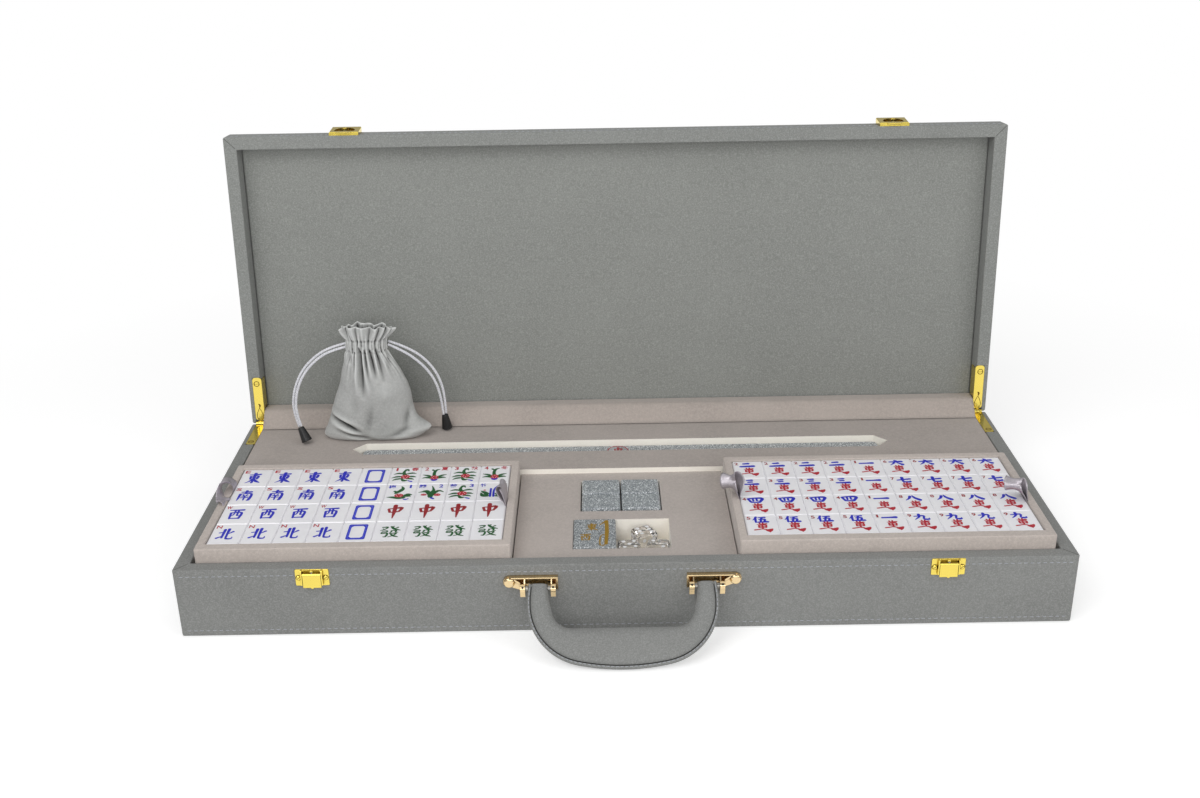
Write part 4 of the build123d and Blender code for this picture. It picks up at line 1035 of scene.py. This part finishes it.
def brush_stroke(points, level=0.0):
    """A stroke of changing width with round ends, as a strip of quads; all in millimetres."""
    line = smooth_line(points, 4)
    left, right = [], []
    for i, (x, y, half) in enumerate(line):
        a, b = neighbours(line, i)
        run = math.hypot(b[0] - a[0], b[1] - a[1]) or 1.0
        ahead = ((b[0] - a[0]) / run, (b[1] - a[1]) / run)
        if i in (0, len(line) - 1):
            reach = half * (-0.7 if i == 0 else 0.7)
            tip = (x + ahead[0] * reach, y + ahead[1] * reach, half * 0.5)
            rows = [tip, (x, y, half)] if i == 0 else [(x, y, half), tip]
        else:
            rows = [(x, y, half)]
        for px, py, size in rows:
            left.append((px - ahead[1] * size, py + ahead[0] * size))
            right.append((px + ahead[1] * size, py - ahead[0] * size))
    count = len(left)
    verts = [(x, y, z) for z in (FACE_RISE + level, -FACE_SINK) for row in (left, right) for x, y in row]
    faces = [(0, count, 3 * count, 2 * count), (count - 1, 3 * count - 1, 4 * count - 1, 2 * count - 1)]
    for i in range(count - 1):
        top, low = i, i + 2 * count
        faces += [
            (top, top + 1, top + 1 + count, top + count), (low, low + count, low + 1 + count, low + 1),
            (top, low, low + 1, top + 1), (top + count, top + 1 + count, low + 1 + count, low + count),
        ]
    return verts, faces


def brushed(name, box, nib=NIB):
    """A brush character's strokes scaled into a box: centre x, y, width, height in millimetres."""
    x, y, width, height = box
    drawn = []
    for i, stroke in enumerate(strokes(BRUSH[name])):
        spots = [(x + (u / 100 - 0.5) * width, y + (v / 100 - 0.5) * height, w * nib) for u, v, w in stroke]
        drawn.append(brush_stroke(spots, STROKE_STEP * i))
    return drawn


def printed(text, box):
    """A letter, digit or printed character scaled into a box."""
    x, y, width, height = box
    if text == "1":
        width *= 0.5
    curve = bpy.data.curves.new("text", "FONT")
    curve.body = text
    curve.resolution_u = 3
    curve.extrude = 1.0
    curve.offset = 0.02
    made = bpy.data.objects.new("text", curve)
    scene.collection.objects.link(made)
    mesh = bpy.data.meshes.new_from_object(made)
    spots = [v.co.copy() for v in mesh.vertices]
    faces = [tuple(p.vertices) for p in mesh.polygons]
    bpy.data.objects.remove(made)
    bpy.data.curves.remove(curve)
    bpy.data.meshes.remove(mesh)
    low = [min(s[k] for s in spots) for k in range(2)]
    high = [max(s[k] for s in spots) for k in range(2)]
    verts = [
        (x + ((s[0] - low[0]) / (high[0] - low[0]) - 0.5) * width,
         y + ((s[1] - low[1]) / (high[1] - low[1]) - 0.5) * height,
         FACE_RISE if s[2] > 0 else -FACE_SINK)
        for s in spots
    ]
    return verts, faces


def oval(x, y, across, deep, sides):
    """Points round an oval."""
    return [(x + across * math.cos(math.tau * i / sides), y + deep * math.sin(math.tau * i / sides))
            for i in range(sides)]


def disc(x, y, across, deep, level=0.0, sides=16):
    """A flat oval form."""
    return flat_form(oval(x, y, across, deep, sides), level)


def band(outer, inner, level=0.0):
    """A closed band between two outlines with the same number of points."""
    count = len(outer)
    verts = [(x, y, z) for z in (FACE_RISE + level, -FACE_SINK) for row in (outer, inner) for x, y in row]
    faces = []
    for i in range(count):
        j = (i + 1) % count
        faces += [
            (i, j, count + j, count + i), (2 * count + i, 3 * count + i, 3 * count + j, 2 * count + j),
            (i, 2 * count + i, 2 * count + j, j), (count + i, count + j, 3 * count + j, 3 * count + i),
        ]
    return verts, faces


def cut_corners(half_width, half_height, cut):
    """A rectangle with its corners cut off, from the right side round."""
    corner = [(half_width, half_height - cut), (half_width - cut, half_height)]
    return (corner + [(-x, y) for x, y in corner[::-1]] + [(-x, -y) for x, y in corner]
            + [(x, -y) for x, y in corner[::-1]])


# The plants as x, y, half width in millimetres from a tile's middle: green leaves, and blue ground or stems.
LEAVES = {
    "bush": (
        "0,1,1.3 -1.6,6,1.1 -0.4,12.5,0.4 / -2,8,0.6 1,12,1 2.6,9,0.3 / -1,3,0.6 -6,4.6,1 -10.5,2.6,0.2 "
        "/ 1,3,0.6 6,4.8,1 10,3.8,0.2 / -2,-2,0.7 -7,-2.2,1.1 -11.5,-4.6,0.2 / 2,-2,0.7 7,-2,1.1 "
        "10.4,-3.2,0.2 / -2,-6,0.8 -7,-7,1 -10.4,-9.6,0.2 / 2,-6,0.8 6,-6.4,1 9,-8,0.2 / -2,-7,0.8 "
        "0,-10,1.3 3,-9.4,0.5"
    ),
    "fan": (
        "0,-6,1.3 -1,4,1.1 0.6,10,0.9 3.6,11.6,0.3 / -1,8,0.5 -3,10.6,0.9 / -1,-6,0.8 -6,-1,1.1 "
        "-11,0.6,0.2 / 1,-6,0.8 6,-1,1.1 10.6,1,0.2 / -1,-7,0.8 -7,-4.6,1 -11,-6,0.2 / 1,-7,0.8 7,-4.6,1 "
        "10.4,-5.4,0.2"
    ),
    "branch": (
        "-4,0,1.2 0,5,1.5 1.6,9,1.1 0,13,0.3 / -3,2,0.9 -5.4,3.8,0.9 / -11,-7.4,0.2 -6,-7.6,1.2 "
        "0,-9.4,1.3 5,-8.4,0.8 / 3,-7,0.9 7,-3,1.6 11,-3.4,0.3 / 4,-6,0.8 8,-5.4,1.2 10,-6.4,0.3"
    ),
    "orchid": (
        "0,-8,1.6 0.6,-2,2.2 2,5,1 0,12.6,0.3 / 0,-6,1.2 -4,2,1.4 -11,0.8,0.2 / 1,-5,1.2 6,3.4,1.2 "
        "11.4,1,0.2 / -1,-3,1 -3,3.4,1 -7,4,0.2"
    ),
    "bamboo": (
        "-3,-8,0.8 -8,-7,1.6 -10,-2,0.4 / -3,-4,0.8 -7,-1,1.4 -10,1.6,0.4 / 3,-8,0.8 8,-7,1.6 10,-2,0.4 "
        "/ 3,-4,0.8 7,-1,1.4 10,1.6,0.4 / -4,-6,0.8 -6,-3.4,1.3 / 4,-6,0.8 6,-3.4,1.3"
    ),
}
BLUE_LINES = {
    "bush": "4,-10.4,0.7 7.4,-12,1",
    "fan": "-2.6,-9,0.8 0,-10.4,1.3 2.6,-9,0.8",
    "branch": "4,-11,0.5 6,-12,0.9 8.6,-10.6,0.4",
    "orchid": "1,-9.6,1.2 3.4,-11.6,1",
    "bamboo": "-1.6,-9,1 -1.6,6,0.9 / 1.4,-9,1 1.4,4,0.9 5,12,0.7",
}
# blooms: x, y, half width, half height
BLOOMS = {
    "bush": [(0.6, -2.4, 4.3, 3.8)], "fan": [(0, -5, 3.6, 4.2)], "branch": [(-0.6, -4.4, 4.0, 3.4)],
    "orchid": [(-6, -3.6, 2.6, 1.9), (6, -4.2, 3.0, 2.4)], "bamboo": [(-7, 3, 1.2, 1.0)],
}


def inked(ink, forms):
    """Each form with its ink."""
    return [(ink, form) for form in forms]


def flower_tile(number, word, ink, digit_first, plant):
    """A season or plant tile: a digit and a word over a drawn flower."""
    digit_at, word_at = (FLOWER_LEFT, FLOWER_RIGHT) if digit_first else (FLOWER_RIGHT, FLOWER_LEFT)
    marks = inked(ink, [printed(str(number), digit_at + FLOWER_DIGIT), printed(word, word_at + FLOWER_WORD)])
    for i, leaf in enumerate(strokes(LEAVES[plant])):
        full = [(x, y, half * LEAF_FULL) for x, y, half in leaf]
        marks.append(("green", brush_stroke(full, STROKE_STEP * i)))
    for x, y, across, deep in BLOOMS[plant]:
        marks.append(("red", disc(x, y, across, deep, BLOOM_LEVEL)))
        for turn in range(5):
            angle = math.tau * (turn + 0.3 * number) / 5
            petal_x = x + across * 0.55 * math.cos(angle)
            petal_y = y + deep * 0.55 * math.sin(angle)
            marks.append(("pink", disc(petal_x, petal_y, across * 0.13, deep * 0.16, PETAL_LEVEL, 8)))
    for i, line in enumerate(strokes(BLUE_LINES[plant])):
        marks.append(("blue", brush_stroke(line, BLUE_LEVEL + STROKE_STEP / 2 * i)))
    return marks


def frame_tile():
    """The white dragon: a broad double frame with cut inner corners."""
    return [
        ("blue", band(cut_corners(8.0, 12.8, 1.2), cut_corners(5.7, 10.0, 2.0))),
        ("pale_blue", band(cut_corners(6.95, 11.6, 1.4), cut_corners(6.45, 11.1, 1.5), 0.006)),
    ]


def wind_tile(name, letter):
    """A wind: a printed letter and a brush character."""
    return inked("red", [printed(letter, LETTER_BOX)]) + inked("blue", brushed(name, WIND_BOX))


def number_tile(name, digit):
    """A number of ten thousand: a printed digit and two brush characters."""
    return (
        inked("dark_red", [printed(str(digit), DIGIT_BOX)])
        + inked("blue", brushed(name, ONE_BOX if digit == 1 else NUMBER_BOX))
        + inked("red", brushed("myriad", MYRIAD_BOX, FINE_NIB))
    )


def crossed(xs, ys):
    """Every x with every y."""
    return [(x, y) for x in xs for y in ys]


STICK_ROWS = [(1,), (1, 1), (1, 2), (2, 2), (2, 1, 2), (3, 3), (1, 3, 3), (4, 4), (3, 3, 3)]
STICKS_HIGH = 22.0


def bamboo_tile(count):
    """Bamboo sticks in the usual rows; the first tile has one tall stick."""
    rows = STICK_ROWS[count - 1]
    marks = []
    half = STICKS_HIGH / len(rows) / 2 - 0.8
    for row, sticks in enumerate(rows):
        y = STICKS_HIGH / 2 - STICKS_HIGH * (row + 0.5) / len(rows)
        for k in range(sticks):
            x = (k - (sticks - 1) / 2) * min(7.0, 21.0 / sticks)
            ink = "red" if sticks % 2 and k == sticks // 2 and count in (5, 7, 9) else "green"
            stick = brush_stroke([(x, y - half, 1.0), (x, y, 0.55), (x, y + half, 1.0)])
            marks += inked(ink, [stick, disc(x, y, 1.15, 0.5, 2 * STROKE_STEP, 10)])
    return marks


COIN_PLACES = [
    [(0, 0)], [(0, 7), (0, -7)], [(-6.5, 9), (0, 0), (6.5, -9)], crossed((-5.5, 5.5), (-7, 7)),
    crossed((-6.5, 6.5), (-9, 9)) + [(0, 0)], crossed((-5, 5), (-9, 0, 9)),
    [(-7, 11.5), (0, 9), (7, 6.5)] + crossed((-5, 5), (-2, -10)), crossed((-5, 5), (-11, -3.7, 3.7, 11)),
    crossed((-8, 0, 8), (-9.5, 0, 9.5)),
]
COIN_SIZES = (9.0, 5.4, 3.4, 3.4, 3.4, 3.4, 3.0, 3.0, 3.0)


def circle_tile(count):
    """Coins in the usual places."""
    size = COIN_SIZES[count - 1]
    marks = []
    for i, (x, y) in enumerate(COIN_PLACES[count - 1]):
        rim, hole, dot = size, size * 0.72, size * 0.36
        coin = [band(oval(x, y, rim, rim, 20), oval(x, y, hole, hole, 20)), disc(x, y, dot, dot)]
        marks += inked(("green", "blue", "red")[i % 3], coin)
    return marks


def mark_tiles(where, rows):
    """Puts the marks of each tile on a tray's tiles; rows run from the rear to the front."""
    node, body = f"tiles_{where}", f"tray_{where}"
    inks = list(PAINTS)
    low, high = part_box(node)
    across = (high[0] - low[0]) / len(rows[0])
    deep = (high[1] - low[1]) / len(rows)
    verts, faces, indices = [], [], []
    for row, tiles in enumerate(rows):
        for column, marks in enumerate(tiles):
            x, y = low[0] + (column + 0.5) * across, high[1] - (row + 0.5) * deep
            for ink, (mark_verts, mark_faces) in marks:
                start = len(verts)
                verts += [(x + px * MM, y + py * MM, high[2] + pz * MM) for px, py, pz in mark_verts]
                faces += [tuple(start + i for i in face) for face in mark_faces]
                indices += [inks.index(ink)] * len(mark_faces)
    piece(f"marks_{node}", verts, faces, body, list(PAINTS.values()), "tile_resin", False, indices)


def flowers(words, ink, digit_first, forms):
    """The four tiles of a set of seasons or plants."""
    tiles = zip(range(1, 5), words, forms)
    return [flower_tile(number, word, ink, digit_first, plant) for number, word, plant in tiles]


seasons = flowers("春夏秋冬", "red", True, ("bush", "fan", "bush", "fan"))
plants = flowers("梅蘭菊竹", "blue", False, ("branch", "orchid", "bush", "bamboo"))
red_dragon = inked("dark_red", brushed("centre", RED_DRAGON_BOX, BROAD_NIB))
green_dragon = inked("green", brushed("prosper", GREEN_DRAGON_BOX))
white_dragon = frame_tile()
mark_tiles("left_upper", [
    [wind_tile("east", "E")] * 4 + [white_dragon] + seasons,
    [wind_tile("south", "S")] * 4 + [white_dragon] + plants,
    [wind_tile("west", "W")] * 4 + [white_dragon] + [red_dragon] * 4,
    [wind_tile("north", "N")] * 4 + [white_dragon] + [green_dragon] * 4,
])
NUMBERS = ("one", "two", "three", "four", "five", "six", "seven", "eight", "nine")
numbers = [number_tile(name, i + 1) for i, name in enumerate(NUMBERS)]
mark_tiles("right_upper", [
    [numbers[row]] * 4 + [numbers[0]] + [numbers[row + 4]] * 4 for row in range(1, 5)
])
for where, drawn in (("left_lower", bamboo_tile), ("right_lower", circle_tile)):
    mark_tiles(where, [[drawn(count) for count in range(1, 10)]] * 4)


# ---------------------------------------------------------------- stitches and seams
RIGHT, BACK, UP = Vector((1, 0, 0)), Vector((0, 1, 0)), Vector((0, 0, 1))
FRONT = Vector((0, -1, 0))
HINGE_Y, HINGE_Z, RIM_GAP = 143.3, 63.4, 0.4
LID_TILT = math.radians(4.8)
LID_UP = Vector((0, math.sin(LID_TILT), math.cos(LID_TILT)))
LID_BACK = Vector((0, math.cos(LID_TILT), -math.sin(LID_TILT)))
HALF_LENGTH, HALF_DEPTH, BASE_HEIGHT, WALL = 370.0, 143.0, 63.2, 12.0
LID_FRONT = 286.3
STITCH_IN, LOW_STITCHES, CORNER_GAP, HINGE_GAP = 6.2, 5.4, 4.0, 6.0
STITCH_PITCH, STITCH_LONG, THREAD = 5.3, 2.9, 0.3
ROUNDED = 1.3


def on_lid(x, up, out):
    """A point of the open lid in millimetres: up along its rim plane, out of the rim."""
    rim = Vector((0, HINGE_Y, HINGE_Z)) + LID_BACK * (RIM_GAP / 2)
    return rim + Vector((x, 0, 0)) + LID_UP * up - LID_BACK * out


def stitch(middle, half, normal):
    """One arched stitch whose ends dive into the leather; half runs from its middle to its end."""
    start, end = middle - half, middle + half
    line = [
        start - normal * 0.3, start.lerp(end, 0.14) + normal * 0.05, (start + end) / 2 + normal * 0.12,
        start.lerp(end, 0.86) + normal * 0.05, end - normal * 0.3,
    ]
    return tube([spot * MM for spot in line], THREAD * MM, 6)


def stitched(runs):
    """Stitches along straight runs, each a (start, end, outward normal) in millimetres."""
    parts = []
    for start, end, normal in runs:
        count = round((end - start).length / STITCH_PITCH)
        half = (end - start).normalized() * STITCH_LONG / 2
        parts += [stitch(start.lerp(end, (k + 0.5) / count), half, normal) for k in range(count)]
    return gather(parts)


def base_runs(z):
    """Stitch lines round the base at one height."""
    x, y = HALF_LENGTH - CORNER_GAP, HALF_DEPTH - CORNER_GAP
    return [
        (Vector((-x, side * HALF_DEPTH, z)), Vector((x, side * HALF_DEPTH, z)), BACK * side)
        for side in (-1, 1)
    ] + [
        (Vector((side * HALF_LENGTH, -y, z)), Vector((side * HALF_LENGTH, y, z)), RIGHT * side)
        for side in (-1, 1)
    ]


def lid_runs():
    """Stitch lines along the lid's front and its two ends."""
    x = HALF_LENGTH - CORNER_GAP
    return [(on_lid(-x, LID_FRONT, -STITCH_IN), on_lid(x, LID_FRONT, -STITCH_IN), LID_UP)] + [
        (on_lid(side * HALF_LENGTH, HINGE_GAP, -STITCH_IN),
         on_lid(side * HALF_LENGTH, LID_FRONT - CORNER_GAP, -STITCH_IN), RIGHT * side)
        for side in (-1, 1)
    ]


def seam(start, end, normal, half=0.28, proud=0.07, sink=0.3):
    """A thin dark closed strip that marks where two edges of leather meet."""
    across = (end - start).cross(normal).normalized() * half
    corners = ((-1, proud), (1, proud), (1, -sink), (-1, -sink))
    verts = [(spot + across * side + normal * rise) * MM for spot in (start, end) for side, rise in corners]
    sides = [(i, i + 4, (i + 1) % 4 + 4, (i + 1) % 4) for i in range(4)]
    return verts, [(0, 1, 2, 3), (4, 7, 6, 5)] + sides


def welt_line(inset, out):
    """A line in millimetres that runs round the handle, at a distance in from its outer edge."""
    track = []
    for outer, inner in zip(outer_line, inner_line):
        step = inset / math.dist(outer, inner)
        across, down = (a + (b - a) * step for a, b in zip(outer, inner))
        track.append(on_handle(across, down, out) / MM)
    return track


base_stitches = stitched(base_runs(BASE_HEIGHT - STITCH_IN) + base_runs(LOW_STITCHES))
piece("stitches_base", *base_stitches, "base", thread, "case_leather")
piece("stitches_lid", *stitched(lid_runs()), "lid", thread, "case_leather")

base_seams, lid_seams = [], []
for side in (-1, 1):
    outer_x, inner_x = side * (HALF_LENGTH - ROUNDED), side * (HALF_LENGTH - WALL + ROUNDED)
    outer = Vector((outer_x, ROUNDED - HALF_DEPTH, BASE_HEIGHT))
    inner = Vector((inner_x, WALL - ROUNDED - HALF_DEPTH, BASE_HEIGHT))
    base_seams.append(seam(outer, inner, UP))
    outer = on_lid(outer_x, LID_FRONT - ROUNDED, 0)
    inner = on_lid(inner_x, LID_FRONT - WALL + ROUNDED, 0)
    lid_seams.append(seam(outer, inner, -LID_BACK))
piece("seams_base", *gather(base_seams), "base", seam_shade, "case_leather", False)
piece("seams_lid", *gather(lid_seams), "lid", seam_shade, "case_leather", False)

WELT_STITCHES, WELT_STITCH_HALF, WELT_STITCH_IN = 66, 1.15, 1.35
# painted shade: a dark tube sunk in the groove between each pad and its welt stands for the shade in that
# groove
GROOVE_IN, GROOVE_DEEP, GROOVE_RADIUS = 2.65, 0.75, 0.5
handle_stitches, handle_groove_shade = [], []
for out in (1, -1):
    groove = welt_line(GROOVE_IN, out * (CORE_HALF - GROOVE_DEEP))[3:-3]
    handle_groove_shade.append(tube([spot * MM for spot in groove], GROOVE_RADIUS * MM, 8))
    track = welt_line(WELT_STITCH_IN, out * (CORE_HALF + 0.02))
    spots = [Vector(spot) for spot in resample([tuple(spot) for spot in track], 2 * WELT_STITCHES)]
    for a, b in zip(spots[2:-2:2], spots[3:-2:2]):
        handle_stitches.append(stitch((a + b) / 2, (b - a).normalized() * WELT_STITCH_HALF, FACE * out))
piece("stitches_handle", *gather(handle_stitches), "handle", thread, "grip_leather")
piece("handle_groove_shade", *gather(handle_groove_shade), "handle", groove_painted_shade, "grip_leather")


# ---------------------------------------------------------------- painted shade at screws, latch recesses, striker openings and hinge arms; studs
LATCH_X = (-256.0, 263.0)
LATCH_TOP, LATCH_HEIGHT, LATCH_PLATE, LATCH_SCREWS = 62.8, 15.0, 1.0, 11.1
LATCH_RECESS = [(-6.6, -0.5), (6.6, -0.5), (6.6, -3.4), (-6.6, -3.4)]
STUD_RADIUS, STUD_OUT, STUD_DOWN = 1.1, 0.9, 3.0
# painted shade inside a striker's opening, half an oval
WELL_HALF, WELL_START, WELL_DEPTH, WELL_RISE, WELL_SIDES = 8.9, 4.7, 12.4, 1.03, 24
LEAF_SCREW_X, LEAF_SCREW_UP = HALF_LENGTH - (WALL + 4.0) / 2, 42.0
# the lid leaf's stay arm, drawn as lines of painted shade in its grooves, from the leaf's middle: x, up, half
# width
ARM = strokes(
    "0,16.6,0.25 2.4,11.5,0.3 3.1,7.5,0.3 1.6,4.3,0.25 / "
    "0,16.6,0.25 -2.4,11.5,0.3 -3.1,7.5,0.3 -1.6,4.3,0.25 / -0.8,20.6,0.3 0.6,19.6,0.9 0.3,17.2,0.5"
)
LEAF_MIDDLE = 361.5
LUG_OFFSET, LUG_RADIUS, LUG_OUT, EYE_RADIUS, EYE_TILT = 12.45, 4.2, 7.5, 0.97, math.radians(40)


def placed(part, origin, right, up, out):
    """Moves flat marks, in millimetres, on to a plane of the case."""
    verts, faces = part
    return [(origin + right * x + up * y + out * z) * MM for x, y, z in verts], faces


def ring(outer, inner, sides=28):
    """A flat ring between two radii."""
    return band(oval(0, 0, outer, outer, sides), oval(0, 0, inner, inner, sides))


def stud(middle):
    """A small ball in a latch."""
    ball = bmesh.new()
    bmesh.ops.create_uvsphere(ball, u_segments=20, v_segments=12, radius=STUD_RADIUS)
    made = [(middle + v.co) * MM for v in ball.verts], [tuple(v.index for v in f.verts) for f in ball.faces]
    ball.free()
    return made


# painted shade: dark rings round the screws, and flat darker plates in the latch recesses
recesses, base_rings, lid_rings, studs = [], [], [], []
well = oval(0, WELL_START, WELL_HALF, WELL_DEPTH, 2 * WELL_SIDES)[:WELL_SIDES + 1]
for x in LATCH_X:
    top = Vector((x, -HALF_DEPTH - LATCH_PLATE, LATCH_TOP))
    lid_rings.append(placed(flat_form(well), on_lid(x, LID_FRONT + WELL_RISE, 0), RIGHT, LID_BACK, LID_UP))
    for side in (-1, 1):
        screw = Vector((x + side * LATCH_SCREWS, top.y, LATCH_TOP - LATCH_HEIGHT / 2))
        base_rings.append(placed(ring(2.5, 2.02), screw, RIGHT, UP, FRONT))
    recesses.append(placed(flat_form(LATCH_RECESS), top, RIGHT, UP, FRONT))
    studs.append(stud(top + FRONT * STUD_OUT - UP * STUD_DOWN))
for side in (-1, 1):
    screw, leaf_ring = side * LEAF_SCREW_X, ring(2.9, 2.22)
    base_spot = Vector((screw, HINGE_Y - LEAF_SCREW_UP, BASE_HEIGHT))
    base_rings.append(placed(leaf_ring, base_spot, RIGHT, BACK, UP))
    lid_rings.append(placed(leaf_ring, on_lid(screw, LEAF_SCREW_UP, 0), RIGHT, LID_UP, -LID_BACK))
    leaf = on_lid(side * LEAF_MIDDLE, 0, 0)
    for k, groove in enumerate(ARM):
        lid_rings.append(placed(brush_stroke(groove, 0.003 * k), leaf, RIGHT, LID_UP, -LID_BACK))
piece("latch_recess_shade", *gather(recesses), "base", recess_gold_shade, "gold", False)
piece("screw_rings_base", *gather(base_rings), "base", groove_gold_shade, "gold", False)
piece("screw_rings_lid", *gather(lid_rings), "lid", groove_gold_shade, "gold", False)

# The screw eyes in the lugs of the handle brackets get dark discs of painted shade, for the shade inside
# them.
eye_out = Vector((0, -math.cos(EYE_TILT), math.sin(EYE_TILT)))
eye_up = Vector((0, math.sin(EYE_TILT), math.cos(EYE_TILT)))
pivot = Vector((HANDLE_X, -HALF_DEPTH - LUG_OUT, PIVOT_Z))
eyes = []
for leg, lug in crossed((-1, 1), (-1, 1)):
    spot = pivot + RIGHT * (leg * LEG_OFFSET + lug * LUG_OFFSET) + eye_out * (LUG_RADIUS - 0.5)
    eyes.append(placed(disc(0, 0, EYE_RADIUS, EYE_RADIUS), spot, RIGHT, eye_up, eye_out))
piece("screw_eye_shade", *gather(eyes), "base", black_plastic, "black_plastic", False)
piece("latch_studs", *gather(studs), "base", steel, "steel")


# ---------------------------------------------------------------- dice, dealer marker and ruler marks
PIPS = {
    1: [(0, 0)], 2: [(-1, 1), (1, -1)], 3: [(-1, 1), (0, 0), (1, -1)],
    4: [(-1, 1), (1, 1), (-1, -1), (1, -1)], 5: [(-1, 1), (1, 1), (0, 0), (-1, -1), (1, -1)],
    6: crossed((-1, 1), (-1, 0, 1)),
}
# each die: its middle, its turn in degrees, and the numbers on top and in front
DICE = {
    "left": ((4.0, -99.2), 6, (5, 3)), "right": ((28.4, -99.2), -7, (2, 4)),
    "rear": ((17.6, -75.6), 24, (6, 5)),
}
DIE_SIZE, DIE_FLOOR, PIP_STEP, PIP_RADIUS = 19.0, 37.1, 4.5, 1.65
MARKER_STROKES = strokes(
    "10.2,21,1.7 10.4,2,1.7 9.4,-19,1.5 / 9.6,20,1.2 4.4,14,0.5 / "
    "8.6,-3,0.5 5,-6,0.6 4.4,-20,0.7 8.4,-21,0.7"
)
EAST_BOX, WEST_BOX, MARKER_NIB = (-2.6, 10, 12, 12), (-8.0, -7.5, 11, 13), 0.15
RULER_BOX, RULER_NIB, RULER_RING_X = (0, 0, 9, 13), 0.16, -2.2


def pips(middle, turn, top, front):
    """The pips on a die's six sides; opposite sides add up to seven."""
    spin = Matrix.Rotation(math.radians(turn), 3, "Z")
    third = next(n for n in range(1, 7) if n not in (top, front, 7 - top, 7 - front))
    parts = []
    for count, out, across in (
        (top, UP, RIGHT), (7 - top, -UP, RIGHT), (front, FRONT, RIGHT), (7 - front, BACK, -RIGHT),
        (third, RIGHT, BACK), (7 - third, -RIGHT, FRONT),
    ):
        out, across = spin @ out, spin @ across
        spot = middle + out * DIE_SIZE / 2
        for s, t in PIPS[count]:
            pip = disc(s * PIP_STEP, t * PIP_STEP, PIP_RADIUS, PIP_RADIUS, 0.02, 20)
            parts.append(placed(pip, spot, across, out.cross(across), out))
    return gather(parts)


def top_marks(name, node, forms, material, slot, x=None):
    """Flat marks on the top of a node: round its middle, or round a place x along it."""
    low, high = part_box(node)
    across = (low[0] + high[0]) / 2 if x is None else x * MM
    spot = Vector((across, (low[1] + high[1]) / 2, high[2])) / MM
    piece(name, *gather([placed(form, spot, RIGHT, BACK, UP) for form in forms]), node, material, slot, False)


for name, ((x, y), turn, (top, front)) in DICE.items():
    made = pips(Vector((x, y, DIE_FLOOR + DIE_SIZE / 2)), turn, top, front)
    piece(f"pips_{name}", *made, f"die_{name}", pip_white, "tile_resin_plain", False)
marks = [brush_stroke(line, level) for line, level in zip(MARKER_STROKES, (0.0, 0.004, 0.006))]
marks += brushed("east", EAST_BOX, MARKER_NIB) + brushed("west", WEST_BOX, MARKER_NIB)
top_marks("marker_marks", "dealer_marker", marks, mark_gold, "gold")
marks = [ring(10.4, 9.2, 40)] + brushed("centre", RULER_BOX, RULER_NIB)
top_marks("ruler_ring", "ruler_top", marks, PAINTS["dark_red"], "tile_resin", RULER_RING_X)


# ---------------------------------------------------------------- floor, lamps and world
FLOOR_HALF, FLOOR_DROP, FLOOR_GLOW = 6, 0.0003, 0.42
FADE_START, FADE_END = 0.45, 0.95
AMBIENT = 0.4
corners = [(-FLOOR_HALF, -FLOOR_HALF, 0), (FLOOR_HALF, -FLOOR_HALF, 0), (FLOOR_HALF, FLOOR_HALF, 0),
           (-FLOOR_HALF, FLOOR_HALF, 0)]
floor_mesh = bpy.data.meshes.new("floor")
floor_mesh.from_pydata(corners, [], [(0, 1, 2, 3)])
floor = bpy.data.objects.new("floor", floor_mesh)
scene.collection.objects.link(floor)
floor.location.z = -FLOOR_DROP


def floor_look():
    """A pale matt floor with soft shadows near the case that fades into plain white further out."""
    g = Surface("floor")
    g.set(Base_Color=rgb(232, 232, 232), Roughness=0.9)
    matt = g.shader.outputs[0]
    rays = g.node("ShaderNodeLightPath").outputs
    seen = g.math("MAXIMUM", rays["Is Camera Ray"], rays["Is Glossy Ray"])
    seen = g.math("MAXIMUM", seen, rays["Is Transmission Ray"])
    glow = g.node("ShaderNodeEmission", {"Color": WHITE, "Strength": FLOOR_GLOW}).outputs[0]
    seen_glow = g.node("ShaderNodeMixShader", {0: seen, 2: glow}).outputs[0]
    near = g.node("ShaderNodeAddShader", {0: matt, 1: seen_glow}).outputs[0]
    plain = g.node("ShaderNodeEmission", {"Color": WHITE, "Strength": 1.0}).outputs[0]
    reach = g.vector("LENGTH", {0: g.place})["Value"]
    look = g.mixed(g.remap(reach, FADE_START, FADE_END), near, g.mixed(seen, matt, plain))
    g.put(g.out.inputs[0], look)
    return g.material


floor_mesh.materials.append(floor_look())

world = bpy.data.worlds.new("studio")
scene.world = world
sky = Graph(world)
rays = sky.node("ShaderNodeLightPath").outputs
seen = sky.math("MAXIMUM", rays["Is Camera Ray"], rays["Is Transmission Ray"])
backdrop = sky.node("ShaderNodeBackground", {"Color": WHITE}).outputs[0]
ambient = sky.node("ShaderNodeBackground", {"Color": WHITE, "Strength": AMBIENT}).outputs[0]
sky.node("ShaderNodeOutputWorld", {0: sky.mixed(seen, ambient, backdrop)})

# name: place, what it looks at, size, power
LAMPS = {
    "key": ((-0.9, -1.3, 1.7), (0, 0, 0.1), (1.4, 1.0), 14.5),
    "fill": ((1.5, -1.2, 1.1), (0, 0, 0.1), (1.4, 1.0), 7.5),
    "top": ((0.0, 0.2, 1.9), (0, 0, 0.1), (1.8, 1.2), 4),
    "front": ((0.1, -2.3, 0.85), (0, 0, 0.12), (1.8, 0.9), 14),
}
for name, (place, aim, size, power) in LAMPS.items():
    light = bpy.data.lights.new(name, "AREA")
    light.shape = "RECTANGLE"
    light.size, light.size_y = size
    light.energy = power
    lamp = bpy.data.objects.new(name, light)
    scene.collection.objects.link(lamp)
    lamp.location = place
    lamp.rotation_euler = (Vector(aim) - Vector(place)).to_track_quat("-Z", "Y").to_euler()

scene.view_settings.view_transform = "Standard"
